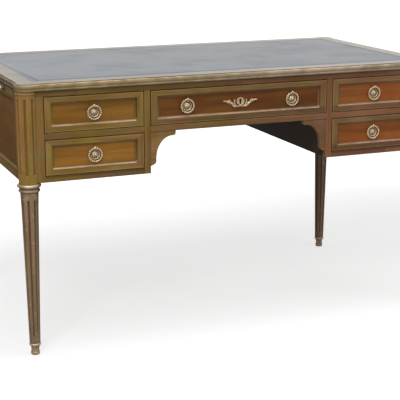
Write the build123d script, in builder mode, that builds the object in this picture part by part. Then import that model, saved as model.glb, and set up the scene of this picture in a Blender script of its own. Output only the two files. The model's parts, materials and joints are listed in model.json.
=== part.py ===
"""Kneehole writing desk with five drawers, fluted corner posts and two pull-out slides.

X runs along the front (+X to the sitter's right as seen from the front), Y from front to
back, Z up from the floor. The origin is on the floor, under the middle of the top.
The front faces -Y. All sizes are in millimetres.
"""

from build123d import *
import math
import os

os.makedirs("parts", exist_ok=True)

# ---------------------------------------------------------------- driving dimensions
HEIGHT = 760.0          # floor to the top of the border
POST_X = 616.0          # corner post axes, either side of the middle
POST_Y = 329.0          # corner post axes, before and behind the middle
POST_R = 27.5
FACE_REACH = 18.0       # rails, boards and end frames stand this far outside the post axes
EDGE_REACH = 27.0       # straight edges of the top, outside the post axes
EAR_R = 33.0            # round corner ears of the top, about the post axes
LEATHER_INSET = 25.0    # leather edge, inside the post axes
SLAB = 20.0             # thickness of the top
CASE_BOTTOM = 490.5

BOARD = 20.0            # thickness of rails, drawer fronts and end frames
GAP = 1.2               # air round drawers and slides
KNEE_X = 273.0          # half width of the kneehole
KNEE_STILE = 18.2       # width of the stile beside the kneehole
CORNER_EDGE_X = 574.3   # drawer side of the corner stile
TOP_RAIL_LOW = 723.5
MID_RAIL_HIGH = 624.5
MID_RAIL_LOW = 607.0
BOTTOM_RAIL_HIGH = 507.0

FRAME_UPRIGHT = 19.5    # flat of the frame at each end of a drawer front
FRAME_CROSS = 15.7      # flat of the frame above and below its sunk field
FIELD_DEPTH = 7.0
COVE_R = 6.5            # hollow moulding that runs down into the sunk field

LEG_TOP_Z = 465.0
LEG_TOP_R = 25.0
LEG_SHOULDER_Z = 420.0  # the leg swells a little from here up to its collar
LEG_SHOULDER_R = 23.0
LEG_FOOT_Z = 34.5
LEG_FOOT_R = 15.0
TENON_R = 11.0          # leg's tenon, up through the collar into the post
TENON_LENGTH = 60.0
SPIGOT_R = 8.0          # leg's spigot, down into the sabot
SPIGOT_LENGTH = 18.0

FLUTES = 8              # flutes round a full turn of a leg; a post shows four of them
FLUTE_R = 4.0
FLUTE_DEPTH = 3.0
POST_FLUTE_LOW = 513.0
POST_FLUTE_HIGH = 721.0
LEG_FLUTE_LOW = 56.0
LEG_FLUTE_HIGH = 446.0
LEG_FLUTE_FOOT_R = 2.7

DRAWER_LENGTH = 560.0   # sides, behind the front
DRAWER_SIDE = 10.0
DRAWER_BOTTOM = 5.0
DRAWER_BOTTOM_RISE = 8.0
GROOVE = 4.0            # drawer bottom's grip in the sides and the front

RING_R = 18.6           # centre line of a pull's ring
RING_WIRE_R = 2.9
RING_STAND = 5.0        # ring's plane in front of the sunk field
EYE_CLEAR = 0.4
ROSETTE_R = 14.0
CENTRE_PULL_X = 162.0
PULL_DROP = 1.5         # pulls sit this far below the middle of their drawer

SLIDE_LOW = 717.5
SLIDE_THICK = 16.0
SLIDE_HALF_Y = 255.0
SLIDE_KNOB_Y = 152.0

# ---------------------------------------------------------------- derived places
CASE_TOP = HEIGHT - SLAB
FRONT_Y = POST_Y + FACE_REACH
SIDE_X = POST_X + FACE_REACH
LEATHER_X = POST_X - LEATHER_INSET
LEATHER_Y = POST_Y - LEATHER_INSET
BACK_OF_FRONT = FRONT_Y - BOARD
END_INNER_X = SIDE_X - BOARD
KNEE_STILE_X = KNEE_X + KNEE_STILE
FIELD_Y = FRONT_Y - FIELD_DEPTH
CORNERS = {
    "front_left": (-1, -1),
    "front_right": (1, -1),
    "back_left": (-1, 1),
    "back_right": (1, 1),
}
POST_POINTS = [(sx * POST_X, sy * POST_Y) for sx, sy in CORNERS.values()]


def save(part, name):
    """Label a finished piece and write it under its node's name."""
    part.label = name
    export_step(part, f"parts/{name}.step")


def bar(x_span, y_span, z_span, mode=Mode.ADD):
    """A square-edged board between two limits on each axis."""
    spans = (x_span, y_span, z_span)
    middle = tuple((low + high) / 2 for low, high in spans)
    with Locations(middle):
        Box(*(abs(high - low) for low, high in spans), mode=mode)


def cope_to_posts():
    """Hollow whatever crosses a corner post to the post's round."""
    with Locations(*[(x, y, CASE_TOP / 2) for x, y in POST_POINTS]):
        Cylinder(POST_R, CASE_TOP, mode=Mode.SUBTRACT)


def upright_plane(x, y):
    """Vertical plane through (x, y), for the half outlines of turned pieces."""
    return Plane(origin=(x, y, 0), x_dir=(1, 0, 0), z_dir=(0, -1, 0))


# ---------------------------------------------------------------- table top
def edge_outline(reach):
    """Section of the top from its inner edge (0) out to the moulded edge (reach)."""

    def at(inward, rise):
        """Point this far inside the edge and this far above the underside."""
        return (reach - inward, CASE_TOP + rise)

    flat_end, quirk_back, quirk_front = at(5.8, SLAB), at(5.8, SLAB - 2.8), at(4.9, SLAB - 2.8)
    roll_front = at(0.4, 16.4)
    roll = [roll_front, at(0.7, 17.5), at(1.5, 18.35), at(2.7, 18.7), at(3.9, 18.35), quirk_front]
    face_middle, face_low = at(0.1, 11.6), at(1.6, 7.8)
    hollow_high, hollow_low = at(3.4, 7.0), at(3.2, 6.2)
    bead_middle, bead_low, under_edge = at(1.9, 3.6), at(3.6, 0.9), at(5.5, 0)
    Polyline(quirk_front, quirk_back, flat_end, (0, HEIGHT), (0, CASE_TOP), under_edge, bead_low)
    ThreePointArc(bead_low, bead_middle, hollow_low)
    Polyline(hollow_low, hollow_high, face_low)
    ThreePointArc(face_low, face_middle, roll_front)
    Polyline(*roll)


TOP_SIDES = {
    "front": ((0, -1), LEATHER_Y, POST_X),
    "back": ((0, 1), LEATHER_Y, POST_X),
    "left": ((-1, 0), LEATHER_X, POST_Y),
    "right": ((1, 0), LEATHER_X, POST_Y),
}

with BuildPart() as straight_edges:
    for (out_x, out_y), inner, half_length in TOP_SIDES.values():
        side_plane = Plane(
            origin=(out_x * inner, out_y * inner, 0),
            x_dir=(out_x, out_y, 0),
            z_dir=(out_y, -out_x, 0),
        )
        with BuildSketch(side_plane):
            with BuildLine():
                edge_outline(LEATHER_INSET + EDGE_REACH)
            make_face()
        extrude(amount=half_length, both=True)


def ear(post_x, post_y):
    """Round moulded corner of the top, about a post's axis."""
    with BuildPart() as corner_ear:
        with BuildSketch(upright_plane(post_x, post_y)):
            with BuildLine():
                edge_outline(EAR_R)
            make_face()
        revolve(axis=Axis((post_x, post_y, 0), (0, 0, 1)))
    return corner_ear.part


whole_border = straight_edges.part
for post_x, post_y in POST_POINTS:
    whole_border = whole_border + ear(post_x, post_y)

# screws that hold the top, up through the top rails
SCREW_POINTS = [(x, sy * (FRONT_Y - BOARD / 2)) for x in (-480, -140, 140, 480) for sy in (-1, 1)]
SCREW_R = 2.2
SCREW_HEAD_R = 4.5
SCREW_HEAD_Z = TOP_RAIL_LOW + 1.5
SCREW_HEAD = 3.0
SCREW_END_Z = CASE_TOP + 13.0


def screws(mode=Mode.ADD):
    """The top's wood screws, or the holes they fill."""
    with Locations(*[(x, y, SCREW_HEAD_Z) for x, y in SCREW_POINTS]):
        Cylinder(
            SCREW_R,
            SCREW_END_Z - SCREW_HEAD_Z,
            align=(Align.CENTER, Align.CENTER, Align.MIN),
            mode=mode,
        )
        Cylinder(SCREW_HEAD_R, SCREW_HEAD, align=(Align.CENTER, Align.CENTER, Align.MIN), mode=mode)


def screw_wells():
    """Counterbores under the screw heads."""
    with Locations(*[(x, y, TOP_RAIL_LOW) for x, y in SCREW_POINTS]):
        Cylinder(
            SCREW_HEAD_R,
            SCREW_HEAD_Z - TOP_RAIL_LOW,
            align=(Align.CENTER, Align.CENTER, Align.MIN),
            mode=Mode.SUBTRACT,
        )


OUTSIDE = 100.0         # past the edge of the top, for the mitre prisms
border_pieces = []
for side, ((out_x, out_y), inner, half_length) in TOP_SIDES.items():
    reach = inner + OUTSIDE
    inner_half = half_length - LEATHER_INSET
    outer_half = inner_half + OUTSIDE
    along = (abs(out_y), abs(out_x))
    mitre = [(inner, -inner_half), (inner, inner_half), (reach, outer_half), (reach, -outer_half)]
    corner_points = [(out_x * d + along[0] * s, out_y * d + along[1] * s) for d, s in mitre]
    with BuildPart() as mitre_prism:
        with BuildSketch(Plane.XY.offset(CASE_TOP)):
            with BuildLine():
                Polyline(*corner_points, close=True)
            make_face()
        extrude(amount=SLAB)
    with BuildPart() as border_piece:
        add(whole_border & mitre_prism.part)
        screws(mode=Mode.SUBTRACT)
    assert len(border_piece.solids()) == 1, "a border piece fell apart"
    border_piece.part.label = f"border_{side}"
    border_pieces.append(border_piece.part)
save(Compound(children=border_pieces), "top_border")

LEATHER_THICK = 1.2
CORE_HIGH = HEIGHT - 0.2 - LEATHER_THICK

with BuildPart() as top_core:
    bar((-LEATHER_X, LEATHER_X), (-LEATHER_Y, LEATHER_Y), (CASE_TOP + 1, CORE_HIGH))
save(top_core.part, "top_core")

with BuildPart() as writing_leather:
    bar((-LEATHER_X, LEATHER_X), (-LEATHER_Y, LEATHER_Y), (CORE_HIGH, CORE_HIGH + LEATHER_THICK))
save(writing_leather.part, "writing_leather")

with BuildPart() as top_screws:
    screws()
save(top_screws.part, "top_screws")

# ---------------------------------------------------------------- posts and legs
BEAD_R = POST_R + 1.4
BEAD_Z = CASE_TOP - 7.0
BEAD_HALF = 2.8
FLUTE_SPACING = 360.0 / FLUTES

for corner, (sx, sy) in CORNERS.items():
    post_x, post_y = sx * POST_X, sy * POST_Y
    outward = math.degrees(math.atan2(sy, sx))
    with BuildPart() as post:
        # bead under the top, only where the post stands outside the case's faces
        with BuildSketch(upright_plane(post_x, post_y)):
            with Locations((BEAD_R - BEAD_HALF, BEAD_Z)):
                Circle(BEAD_HALF)
        revolve(axis=Axis((post_x, post_y, 0), (0, 0, 1)))
        bar((-SIDE_X, SIDE_X), (-FRONT_Y, FRONT_Y), (CASE_BOTTOM, CASE_TOP), mode=Mode.SUBTRACT)
        with Locations((post_x, post_y, CASE_BOTTOM)):
            Cylinder(
                POST_R,
                CASE_TOP - CASE_BOTTOM,
                align=(Align.CENTER, Align.CENTER, Align.MIN),
            )
            Cylinder(
                TENON_R,
                TENON_LENGTH - (CASE_BOTTOM - LEG_TOP_Z) + 1.5,
                align=(Align.CENTER, Align.CENTER, Align.MIN),
                mode=Mode.SUBTRACT,
            )
        flute_low = POST_FLUTE_LOW + FLUTE_R
        flute_high = POST_FLUTE_HIGH - FLUTE_R
        first_flute = outward - 1.5 * FLUTE_SPACING
        with Locations((post_x, post_y, flute_low)):
            with PolarLocations(POST_R + FLUTE_R - FLUTE_DEPTH, 4, first_flute, 4 * FLUTE_SPACING):
                Cylinder(
                    FLUTE_R,
                    flute_high - flute_low,
                    align=(Align.CENTER, Align.CENTER, Align.MIN),
                    mode=Mode.SUBTRACT,
                )
                Sphere(FLUTE_R, mode=Mode.SUBTRACT)
        with Locations((post_x, post_y, flute_high)):
            with PolarLocations(POST_R + FLUTE_R - FLUTE_DEPTH, 4, first_flute, 4 * FLUTE_SPACING):
                Sphere(FLUTE_R, mode=Mode.SUBTRACT)
    save(post.part, f"post_{corner}")

LEG_SLOPE = (LEG_SHOULDER_R - LEG_FOOT_R) / (LEG_SHOULDER_Z - LEG_FOOT_Z)


def leg_radius(z):
    """Radius of the leg's straight taper at a height."""
    return LEG_FOOT_R + LEG_SLOPE * (z - LEG_FOOT_Z)


leg_flute_low = LEG_FLUTE_LOW + LEG_FLUTE_FOOT_R
leg_flute_high = LEG_FLUTE_HIGH - FLUTE_R
LEG_FLUTE_SINK = 0.72   # flute depth as a share of its radius

foot_axis_r = leg_radius(leg_flute_low) + LEG_FLUTE_FOOT_R * (1 - LEG_FLUTE_SINK)
top_axis_r = leg_radius(leg_flute_high) + FLUTE_R * (1 - LEG_FLUTE_SINK)
flute_lean = math.degrees(math.atan2(top_axis_r - foot_axis_r, leg_flute_high - leg_flute_low))
flute_length = math.hypot(top_axis_r - foot_axis_r, leg_flute_high - leg_flute_low)

# one flute's hollow: a slim cone with a round end above and below
with BuildPart() as flute_hollow:
    Cone(LEG_FLUTE_FOOT_R, FLUTE_R, flute_length, align=(Align.CENTER, Align.CENTER, Align.MIN))
    Sphere(LEG_FLUTE_FOOT_R)
    with Locations((0, 0, flute_length)):
        Sphere(FLUTE_R)

with BuildPart() as leg_blank:
    with BuildSketch(upright_plane(0, 0)):
        with BuildLine():
            Polyline(
                (0, LEG_FOOT_Z - SPIGOT_LENGTH),
                (SPIGOT_R, LEG_FOOT_Z - SPIGOT_LENGTH),
                (SPIGOT_R, LEG_FOOT_Z),
                (LEG_FOOT_R, LEG_FOOT_Z),
                (LEG_SHOULDER_R, LEG_SHOULDER_Z),
                (LEG_TOP_R, LEG_TOP_Z),
                (TENON_R, LEG_TOP_Z),
                (TENON_R, LEG_TOP_Z + TENON_LENGTH),
                (0, LEG_TOP_Z + TENON_LENGTH),
                close=True,
            )
        make_face()
    revolve(axis=Axis.Z)

fluted_leg = leg_blank.part
cuts = set()
for turn in range(FLUTES):
    before = fluted_leg.volume
    place = (
        Location((0, 0, 0), (0, 0, (turn + 0.5) * FLUTE_SPACING))
        * Location((foot_axis_r, 0, leg_flute_low))
        * Location((0, 0, 0), (0, flute_lean, 0))
    )
    fluted_leg = fluted_leg - flute_hollow.part.moved(place)
    cuts.add(round(before - fluted_leg.volume))
assert len(fluted_leg.solids()) == 1 and max(cuts) - min(cuts) <= 2, f"the leg's flutes differ: {cuts}"

for corner, (sx, sy) in CORNERS.items():
    save(fluted_leg.moved(Location((sx * POST_X, sy * POST_Y, 0))), f"leg_{corner}")

# brass collars: a large ring over a smaller one, with a hollow neck between them
COLLAR_NECK_R = 26.6
COLLAR_RING_R = 32.6
COLLAR_RING_Z = 484.0
COLLAR_RING_HALF = 4.3
COLLAR_FOOT_RING_R = 29.3
COLLAR_FOOT_RING_Z = 470.3
COLLAR_FOOT_RING_HALF = 3.7
COLLAR_SINK = 1.6       # the rings' arcs start this far outside the neck

with BuildPart() as leg_collars:
    for leg_x, leg_y in POST_POINTS:
        ring_start = COLLAR_NECK_R + COLLAR_SINK
        ring_high, ring_low = COLLAR_RING_Z + COLLAR_RING_HALF, COLLAR_RING_Z - COLLAR_RING_HALF
        foot_high = COLLAR_FOOT_RING_Z + COLLAR_FOOT_RING_HALF
        foot_low = COLLAR_FOOT_RING_Z - COLLAR_FOOT_RING_HALF
        with BuildSketch(upright_plane(leg_x, leg_y)):
            with BuildLine():
                Polyline(
                    (LEG_TOP_R + 0.6, foot_low),
                    (LEG_TOP_R + 0.4, LEG_TOP_Z),
                    (TENON_R, LEG_TOP_Z),
                    (TENON_R, CASE_BOTTOM),
                    (POST_R - 0.4, CASE_BOTTOM),
                    (POST_R - 0.4, ring_high + 1.0),
                    (ring_start, ring_high),
                )
                ThreePointArc((ring_start, ring_high), (COLLAR_RING_R, COLLAR_RING_Z), (ring_start, ring_low))
                Polyline(
                    (ring_start, ring_low),
                    (COLLAR_NECK_R, ring_low - 1.6),
                    (COLLAR_NECK_R, foot_high + 0.6),
                    (COLLAR_NECK_R + 0.4, foot_high),
                )
                ThreePointArc(
                    (COLLAR_NECK_R + 0.4, foot_high),
                    (COLLAR_FOOT_RING_R, COLLAR_FOOT_RING_Z),
                    (LEG_TOP_R + 0.6, foot_low),
                )
            make_face()
        revolve(axis=Axis((leg_x, leg_y, 0), (0, 0, 1)))
save(leg_collars.part, "leg_collars")

# brass sabots: a toe ring on the floor, a waist and a collar that cups the leg's end
SABOT_CUP_R = 16.6
SABOT_CUP_Z = 30.0
SABOT_CUP_HALF = 3.0
SABOT_WAIST_R = 11.0
SABOT_WAIST_Z = 17.0
SABOT_TOE_R = 12.7
SABOT_TOE_Z = 5.6
SABOT_TOE_HIGH = 10.6

with BuildPart() as foot_sabots:
    for leg_x, leg_y in POST_POINTS:
        rim_r = LEG_FOOT_R + 0.2
        cup_high, cup_low = SABOT_CUP_Z + SABOT_CUP_HALF, SABOT_CUP_Z - SABOT_CUP_HALF
        with BuildSketch(upright_plane(leg_x, leg_y)):
            with BuildLine():
                Polyline(
                    (SABOT_WAIST_R, 0),
                    (0, 0),
                    (0, LEG_FOOT_Z - SPIGOT_LENGTH),
                    (SPIGOT_R, LEG_FOOT_Z - SPIGOT_LENGTH),
                    (SPIGOT_R, LEG_FOOT_Z),
                    (rim_r, LEG_FOOT_Z),
                    (rim_r, cup_high),
                )
                ThreePointArc((rim_r, cup_high), (SABOT_CUP_R, SABOT_CUP_Z), (rim_r - 0.6, cup_low))
                ThreePointArc(
                    (rim_r - 0.6, cup_low),
                    (SABOT_WAIST_R + 0.9, cup_low - 4.5),
                    (SABOT_WAIST_R, SABOT_WAIST_Z),
                )
                Line((SABOT_WAIST_R, SABOT_WAIST_Z), (SABOT_WAIST_R, SABOT_TOE_HIGH))
                ThreePointArc(
                    (SABOT_WAIST_R, SABOT_TOE_HIGH),
                    (SABOT_TOE_R, SABOT_TOE_Z),
                    (SABOT_WAIST_R, 0),
                )
            make_face()
        revolve(axis=Axis((leg_x, leg_y, 0), (0, 0, 1)))
save(foot_sabots.part, "foot_sabots")

# ---------------------------------------------------------------- case frames, front and back
BOLT_HALF_X = 8.0
BOLT_HALF_Y = 3.0
BOLT_Y = -(FRONT_Y - BOARD + 4.5)       # middle of the bolt's thickness
BOLT_THROW = 8.0
SLIP = 0.4                              # air round the bolt

with BuildPart() as front_top_rail:
    bar((-POST_X, POST_X), (-FRONT_Y, -BACK_OF_FRONT), (TOP_RAIL_LOW, CASE_TOP))
    cope_to_posts()
    screws(mode=Mode.SUBTRACT)
    screw_wells()
    # mortise that takes the lock's bolt
    bar(
        (-BOLT_HALF_X - SLIP, BOLT_HALF_X + SLIP),
        (BOLT_Y - BOLT_HALF_Y - SLIP, BOLT_Y + BOLT_HALF_Y + SLIP),
        (TOP_RAIL_LOW, TOP_RAIL_LOW + BOLT_THROW + 1.5),
        mode=Mode.SUBTRACT,
    )
save(front_top_rail.part, "front_top_rail")


def stile(sx, sy, x_inner, x_outer):
    """One upright of the front or back frame."""
    with BuildPart() as upright:
        bar((sx * x_inner, sx * x_outer), (sy * BACK_OF_FRONT, sy * FRONT_Y), (CASE_BOTTOM, TOP_RAIL_LOW))
        cope_to_posts()
    return upright.part


def rail(x_span, sy, z_span):
    """One cross piece of the front or back frame."""
    with BuildPart() as cross:
        bar(x_span, (sy * BACK_OF_FRONT, sy * FRONT_Y), z_span)
    return cross.part


def stiles(sy):
    """Four uprights: one beside each corner post, one at each side of the kneehole."""
    spans = ((KNEE_X, KNEE_STILE_X), (CORNER_EDGE_X, POST_X))
    return [stile(sx, sy, inner, outer) for sx in (-1, 1) for inner, outer in spans]


save(Compound(children=stiles(-1)), "front_stiles")

front_rails = [rail((-KNEE_X, KNEE_X), -1, (MID_RAIL_LOW, MID_RAIL_HIGH))]
for sx in (-1, 1):
    pedestal = (sx * KNEE_STILE_X, sx * CORNER_EDGE_X)
    front_rails.append(rail(pedestal, -1, (MID_RAIL_LOW, MID_RAIL_HIGH)))
    front_rails.append(rail(pedestal, -1, (CASE_BOTTOM, BOTTOM_RAIL_HIGH)))
save(Compound(children=front_rails), "front_rails")

with BuildPart() as back_top_rail:
    bar((-POST_X, POST_X), (BACK_OF_FRONT, FRONT_Y), (TOP_RAIL_LOW, CASE_TOP))
    cope_to_posts()
    screws(mode=Mode.SUBTRACT)
    screw_wells()
back_members = [back_top_rail.part, rail((-KNEE_X, KNEE_X), 1, (MID_RAIL_LOW, MID_RAIL_HIGH))]
for sx in (-1, 1):
    pedestal = (sx * KNEE_STILE_X, sx * CORNER_EDGE_X)
    back_members.append(rail(pedestal, 1, (CASE_BOTTOM, BOTTOM_RAIL_HIGH)))
save(Compound(children=back_members + stiles(1)), "back_frame")


def panelled_board(x_span, z_span):
    """Board with a frame round a sunk field, and a cove that runs down into the field."""
    width = x_span[1] - x_span[0]
    height = z_span[1] - z_span[0]
    middle = ((x_span[0] + x_span[1]) / 2, (z_span[0] + z_span[1]) / 2)
    with BuildPart() as sinking:
        with BuildSketch(Plane.XZ.offset(FRONT_Y)):
            with Locations(middle):
                Rectangle(width - 2 * FRAME_UPRIGHT, height - 2 * FRAME_CROSS)
        extrude(amount=-FIELD_DEPTH)
        fillet(sinking.faces().sort_by(Axis.Y)[-1].edges(), COVE_R)
    with BuildPart() as board:
        bar(x_span, (-FRONT_Y, -BACK_OF_FRONT), z_span)
        add(sinking.part, mode=Mode.SUBTRACT)
    return board.part


BACK_BOARDS = (
    ((-CORNER_EDGE_X, -KNEE_STILE_X), (BOTTOM_RAIL_HIGH, TOP_RAIL_LOW)),
    ((-KNEE_X, KNEE_X), (MID_RAIL_HIGH, TOP_RAIL_LOW)),
    ((KNEE_STILE_X, CORNER_EDGE_X), (BOTTOM_RAIL_HIGH, TOP_RAIL_LOW)),
)
back_boards = []
for x_span, z_span in BACK_BOARDS:
    with BuildPart() as back_board:
        add(panelled_board(x_span, z_span))
        mirror(about=Plane.XZ, mode=Mode.REPLACE)
    back_boards.append(back_board.part)
save(Compound(children=back_boards), "back_panels")

# ---------------------------------------------------------------- ends of the case
END_OPENING_Y = 262.0
END_OPENING_LOW = CASE_BOTTOM + 30.5
END_OPENING_HIGH = CASE_TOP - 36.0
PANEL_GRIP = 8.0
PANEL_THICK = 8.0
PANEL_LIP = 1.0         # edge that the cove leaves over the panel
END_COVE_R = 5.5

end_panels = []
for side, sx in (("left", -1), ("right", 1)):
    with BuildPart() as end_frame:
        bar((sx * END_INNER_X, sx * SIDE_X), (-POST_Y, POST_Y), (CASE_BOTTOM, CASE_TOP))
        opening_mid = (END_OPENING_LOW + END_OPENING_HIGH) / 2
        opening_high = END_OPENING_HIGH - END_OPENING_LOW
        outer_face = Plane(origin=(sx * SIDE_X, 0, 0), x_dir=(0, sx, 0), z_dir=(sx, 0, 0))
        with BuildPart(mode=Mode.PRIVATE) as sinking:
            with BuildSketch(outer_face):
                with Locations((0, opening_mid)):
                    Rectangle(2 * (END_OPENING_Y + END_COVE_R), opening_high + 2 * END_COVE_R)
            extrude(amount=-(FIELD_DEPTH - PANEL_LIP))
            fillet(sinking.faces().sort_by(Axis.X)[-1 if sx < 0 else 0].edges(), END_COVE_R)
        add(sinking.part, mode=Mode.SUBTRACT)
        with BuildSketch(outer_face):
            with Locations((0, opening_mid)):
                Rectangle(2 * END_OPENING_Y, opening_high)
        extrude(amount=-BOARD, mode=Mode.SUBTRACT)
        # rebate for the panel, open to the inside
        bar(
            (sx * END_INNER_X, sx * (SIDE_X - FIELD_DEPTH)),
            (-END_OPENING_Y - PANEL_GRIP, END_OPENING_Y + PANEL_GRIP),
            (END_OPENING_LOW - PANEL_GRIP, END_OPENING_HIGH + PANEL_GRIP),
            mode=Mode.SUBTRACT,
        )
        # slot for the pull-out slide
        bar(
            (sx * END_INNER_X, sx * SIDE_X),
            (-SLIDE_HALF_Y - GAP, SLIDE_HALF_Y + GAP),
            (SLIDE_LOW - GAP, SLIDE_LOW + SLIDE_THICK + GAP),
            mode=Mode.SUBTRACT,
        )
        cope_to_posts()
    save(end_frame.part, f"end_frame_{side}")
    with BuildPart() as end_panel:
        bar(
            (sx * (SIDE_X - FIELD_DEPTH - PANEL_THICK), sx * (SIDE_X - FIELD_DEPTH)),
            (-END_OPENING_Y - PANEL_GRIP, END_OPENING_Y + PANEL_GRIP),
            (END_OPENING_LOW - PANEL_GRIP, END_OPENING_HIGH + PANEL_GRIP),
        )
    end_panels.append(end_panel.part)
save(Compound(children=end_panels), "end_panels")

# ---------------------------------------------------------------- kneehole
KNEE_WALL = KNEE_STILE_X - KNEE_X - 2.2

with BuildPart() as kneehole_sides:
    for sx in (-1, 1):
        bar((sx * KNEE_X, sx * (KNEE_X + KNEE_WALL)), (-BACK_OF_FRONT, BACK_OF_FRONT), (CASE_BOTTOM, CASE_TOP))
save(kneehole_sides.part, "kneehole_sides")

BRACKET_SETBACK = 2.5
BRACKET_THICK = 14.0
BRACKET_TIP_X = KNEE_X - 75.0
BRACKET_TOE_Z = CASE_BOTTOM + 19.5
BRACKET_ARM = 14.0                      # depth of the arm along the rail
BRACKET_POST = 17.0                     # width of the arm down the stile

BRACKET_TIP_R = 7.0                     # round at the arm's tip
BRACKET_TIP_FLAT = 10.0                 # from the tip to the start of the long hollow
BRACKET_HOLLOW_LOW = BRACKET_TOE_Z + 21.0
BRACKET_TOE_HIGH = BRACKET_TOE_Z + 16.0

with BuildPart() as kneehole_brackets:
    with BuildSketch(Plane.XZ.offset(FRONT_Y - BRACKET_SETBACK)):
        arm_z = MID_RAIL_LOW - BRACKET_ARM
        inner_x = KNEE_X - BRACKET_POST
        round_off = BRACKET_TIP_R * (1 - math.sqrt(0.5))
        hollow_x = BRACKET_TIP_X + BRACKET_TIP_FLAT
        toe_end = (inner_x + 9.0, BRACKET_TOE_Z + 3.5)
        with BuildLine():
            Polyline(
                (KNEE_X, BRACKET_TOE_Z),
                (KNEE_X, MID_RAIL_LOW),
                (BRACKET_TIP_X, MID_RAIL_LOW),
                (BRACKET_TIP_X, arm_z + BRACKET_TIP_R),
            )
            ThreePointArc(
                (BRACKET_TIP_X, arm_z + BRACKET_TIP_R),
                (BRACKET_TIP_X + round_off, arm_z + round_off),
                (BRACKET_TIP_X + BRACKET_TIP_R, arm_z),
            )
            Line((BRACKET_TIP_X + BRACKET_TIP_R, arm_z), (hollow_x, arm_z))
            EllipticalCenterArc(
                (hollow_x, BRACKET_HOLLOW_LOW),
                inner_x - hollow_x,
                arm_z - BRACKET_HOLLOW_LOW,
                start_angle=0,
                arc_size=90,
            )
            Line((inner_x, BRACKET_HOLLOW_LOW), (inner_x, BRACKET_TOE_HIGH))
            ThreePointArc((inner_x, BRACKET_TOE_HIGH), (inner_x + 3.0, BRACKET_TOE_Z + 7.0), toe_end)
            Line(toe_end, (KNEE_X, BRACKET_TOE_Z))
        make_face()
    extrude(amount=-BRACKET_THICK)
    mirror(about=Plane.YZ)
    mirror(about=Plane.XZ)
save(kneehole_brackets.part, "kneehole_brackets")

# ---------------------------------------------------------------- inside the case
RUNNER = 14.0           # bearing width under a drawer side
GUIDE_RISE = 20.0
CENTRE_BEARER = 18.0    # width of the centre drawer's bearers
INNER_RUNNER_X = KNEE_X + KNEE_WALL

with BuildPart() as drawer_runners:
    depth = (-BACK_OF_FRONT, BACK_OF_FRONT)
    for sx in (-1, 1):
        # guides beside the drawers, along the end of the case
        guide = (sx * CORNER_EDGE_X, sx * END_INNER_X)
        bar(guide, depth, (BOTTOM_RAIL_HIGH, BOTTOM_RAIL_HIGH + GUIDE_RISE))
        bar((sx * (CORNER_EDGE_X - RUNNER), guide[1]), depth, (MID_RAIL_LOW, MID_RAIL_HIGH))
        bar(guide, depth, (MID_RAIL_HIGH, MID_RAIL_HIGH + GUIDE_RISE))
        # bearers on the kneehole board, one each side of it
        bar((sx * INNER_RUNNER_X, sx * (INNER_RUNNER_X + RUNNER)), depth, (MID_RAIL_LOW, MID_RAIL_HIGH))
        bar((sx * (KNEE_X - CENTRE_BEARER), sx * KNEE_X), depth, (MID_RAIL_LOW, MID_RAIL_HIGH))
    cope_to_posts()
save(drawer_runners.part, "drawer_runners")

PEDESTAL_BOTTOM = 10.0
with BuildPart() as pedestal_bottoms:
    for sx in (-1, 1):
        bar(
            (sx * INNER_RUNNER_X, sx * END_INNER_X),
            (-BACK_OF_FRONT, BACK_OF_FRONT),
            (BOTTOM_RAIL_HIGH - PEDESTAL_BOTTOM, BOTTOM_RAIL_HIGH),
        )
    cope_to_posts()
save(pedestal_bottoms.part, "pedestal_bottoms")

SLIDE_GUIDE = 10.0      # thickness of the guide under a slide
SLIDE_GUIDE_LOW = SLIDE_LOW - GAP / 2 - SLIDE_GUIDE
SLIDE_GUIDE_GRIP = 35.0 # how far the guides reach over the slide's edge
SLIDE_FENCE = 15.0      # how far they reach beyond it
with BuildPart() as slide_guides:
    for sx in (-1, 1):
        for sy in (-1, 1):
            reach = (sx * INNER_RUNNER_X, sx * END_INNER_X)
            place = (sy * (SLIDE_HALF_Y - SLIDE_GUIDE_GRIP), sy * (SLIDE_HALF_Y + SLIDE_FENCE))
            bar(reach, place, (SLIDE_GUIDE_LOW, SLIDE_LOW - GAP / 2))
            bar(reach, place, (SLIDE_LOW + SLIDE_THICK + GAP / 2, CASE_TOP))
            # side fence that keeps the slide square
            fence = (sy * (SLIDE_HALF_Y + GAP), sy * (SLIDE_HALF_Y + SLIDE_FENCE))
            bar(reach, fence, (SLIDE_LOW - GAP / 2, SLIDE_LOW + SLIDE_THICK + GAP / 2))
save(slide_guides.part, "slide_guides")

# ---------------------------------------------------------------- pull-out slides
SLIDE_INNER_X = INNER_RUNNER_X + 4.0
SLIDE_EDGE_X = SIDE_X - 0.5
SLIDE_MID_Z = SLIDE_LOW + SLIDE_THICK / 2
KNOB_STUD_R = 2.5
KNOB_STUD = 14.0
KNOB_R = 7.5            # round head
KNOB_MID = 10.5         # head's centre, out from the slide's edge
KNOB_NECK_R = 4.0

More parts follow.
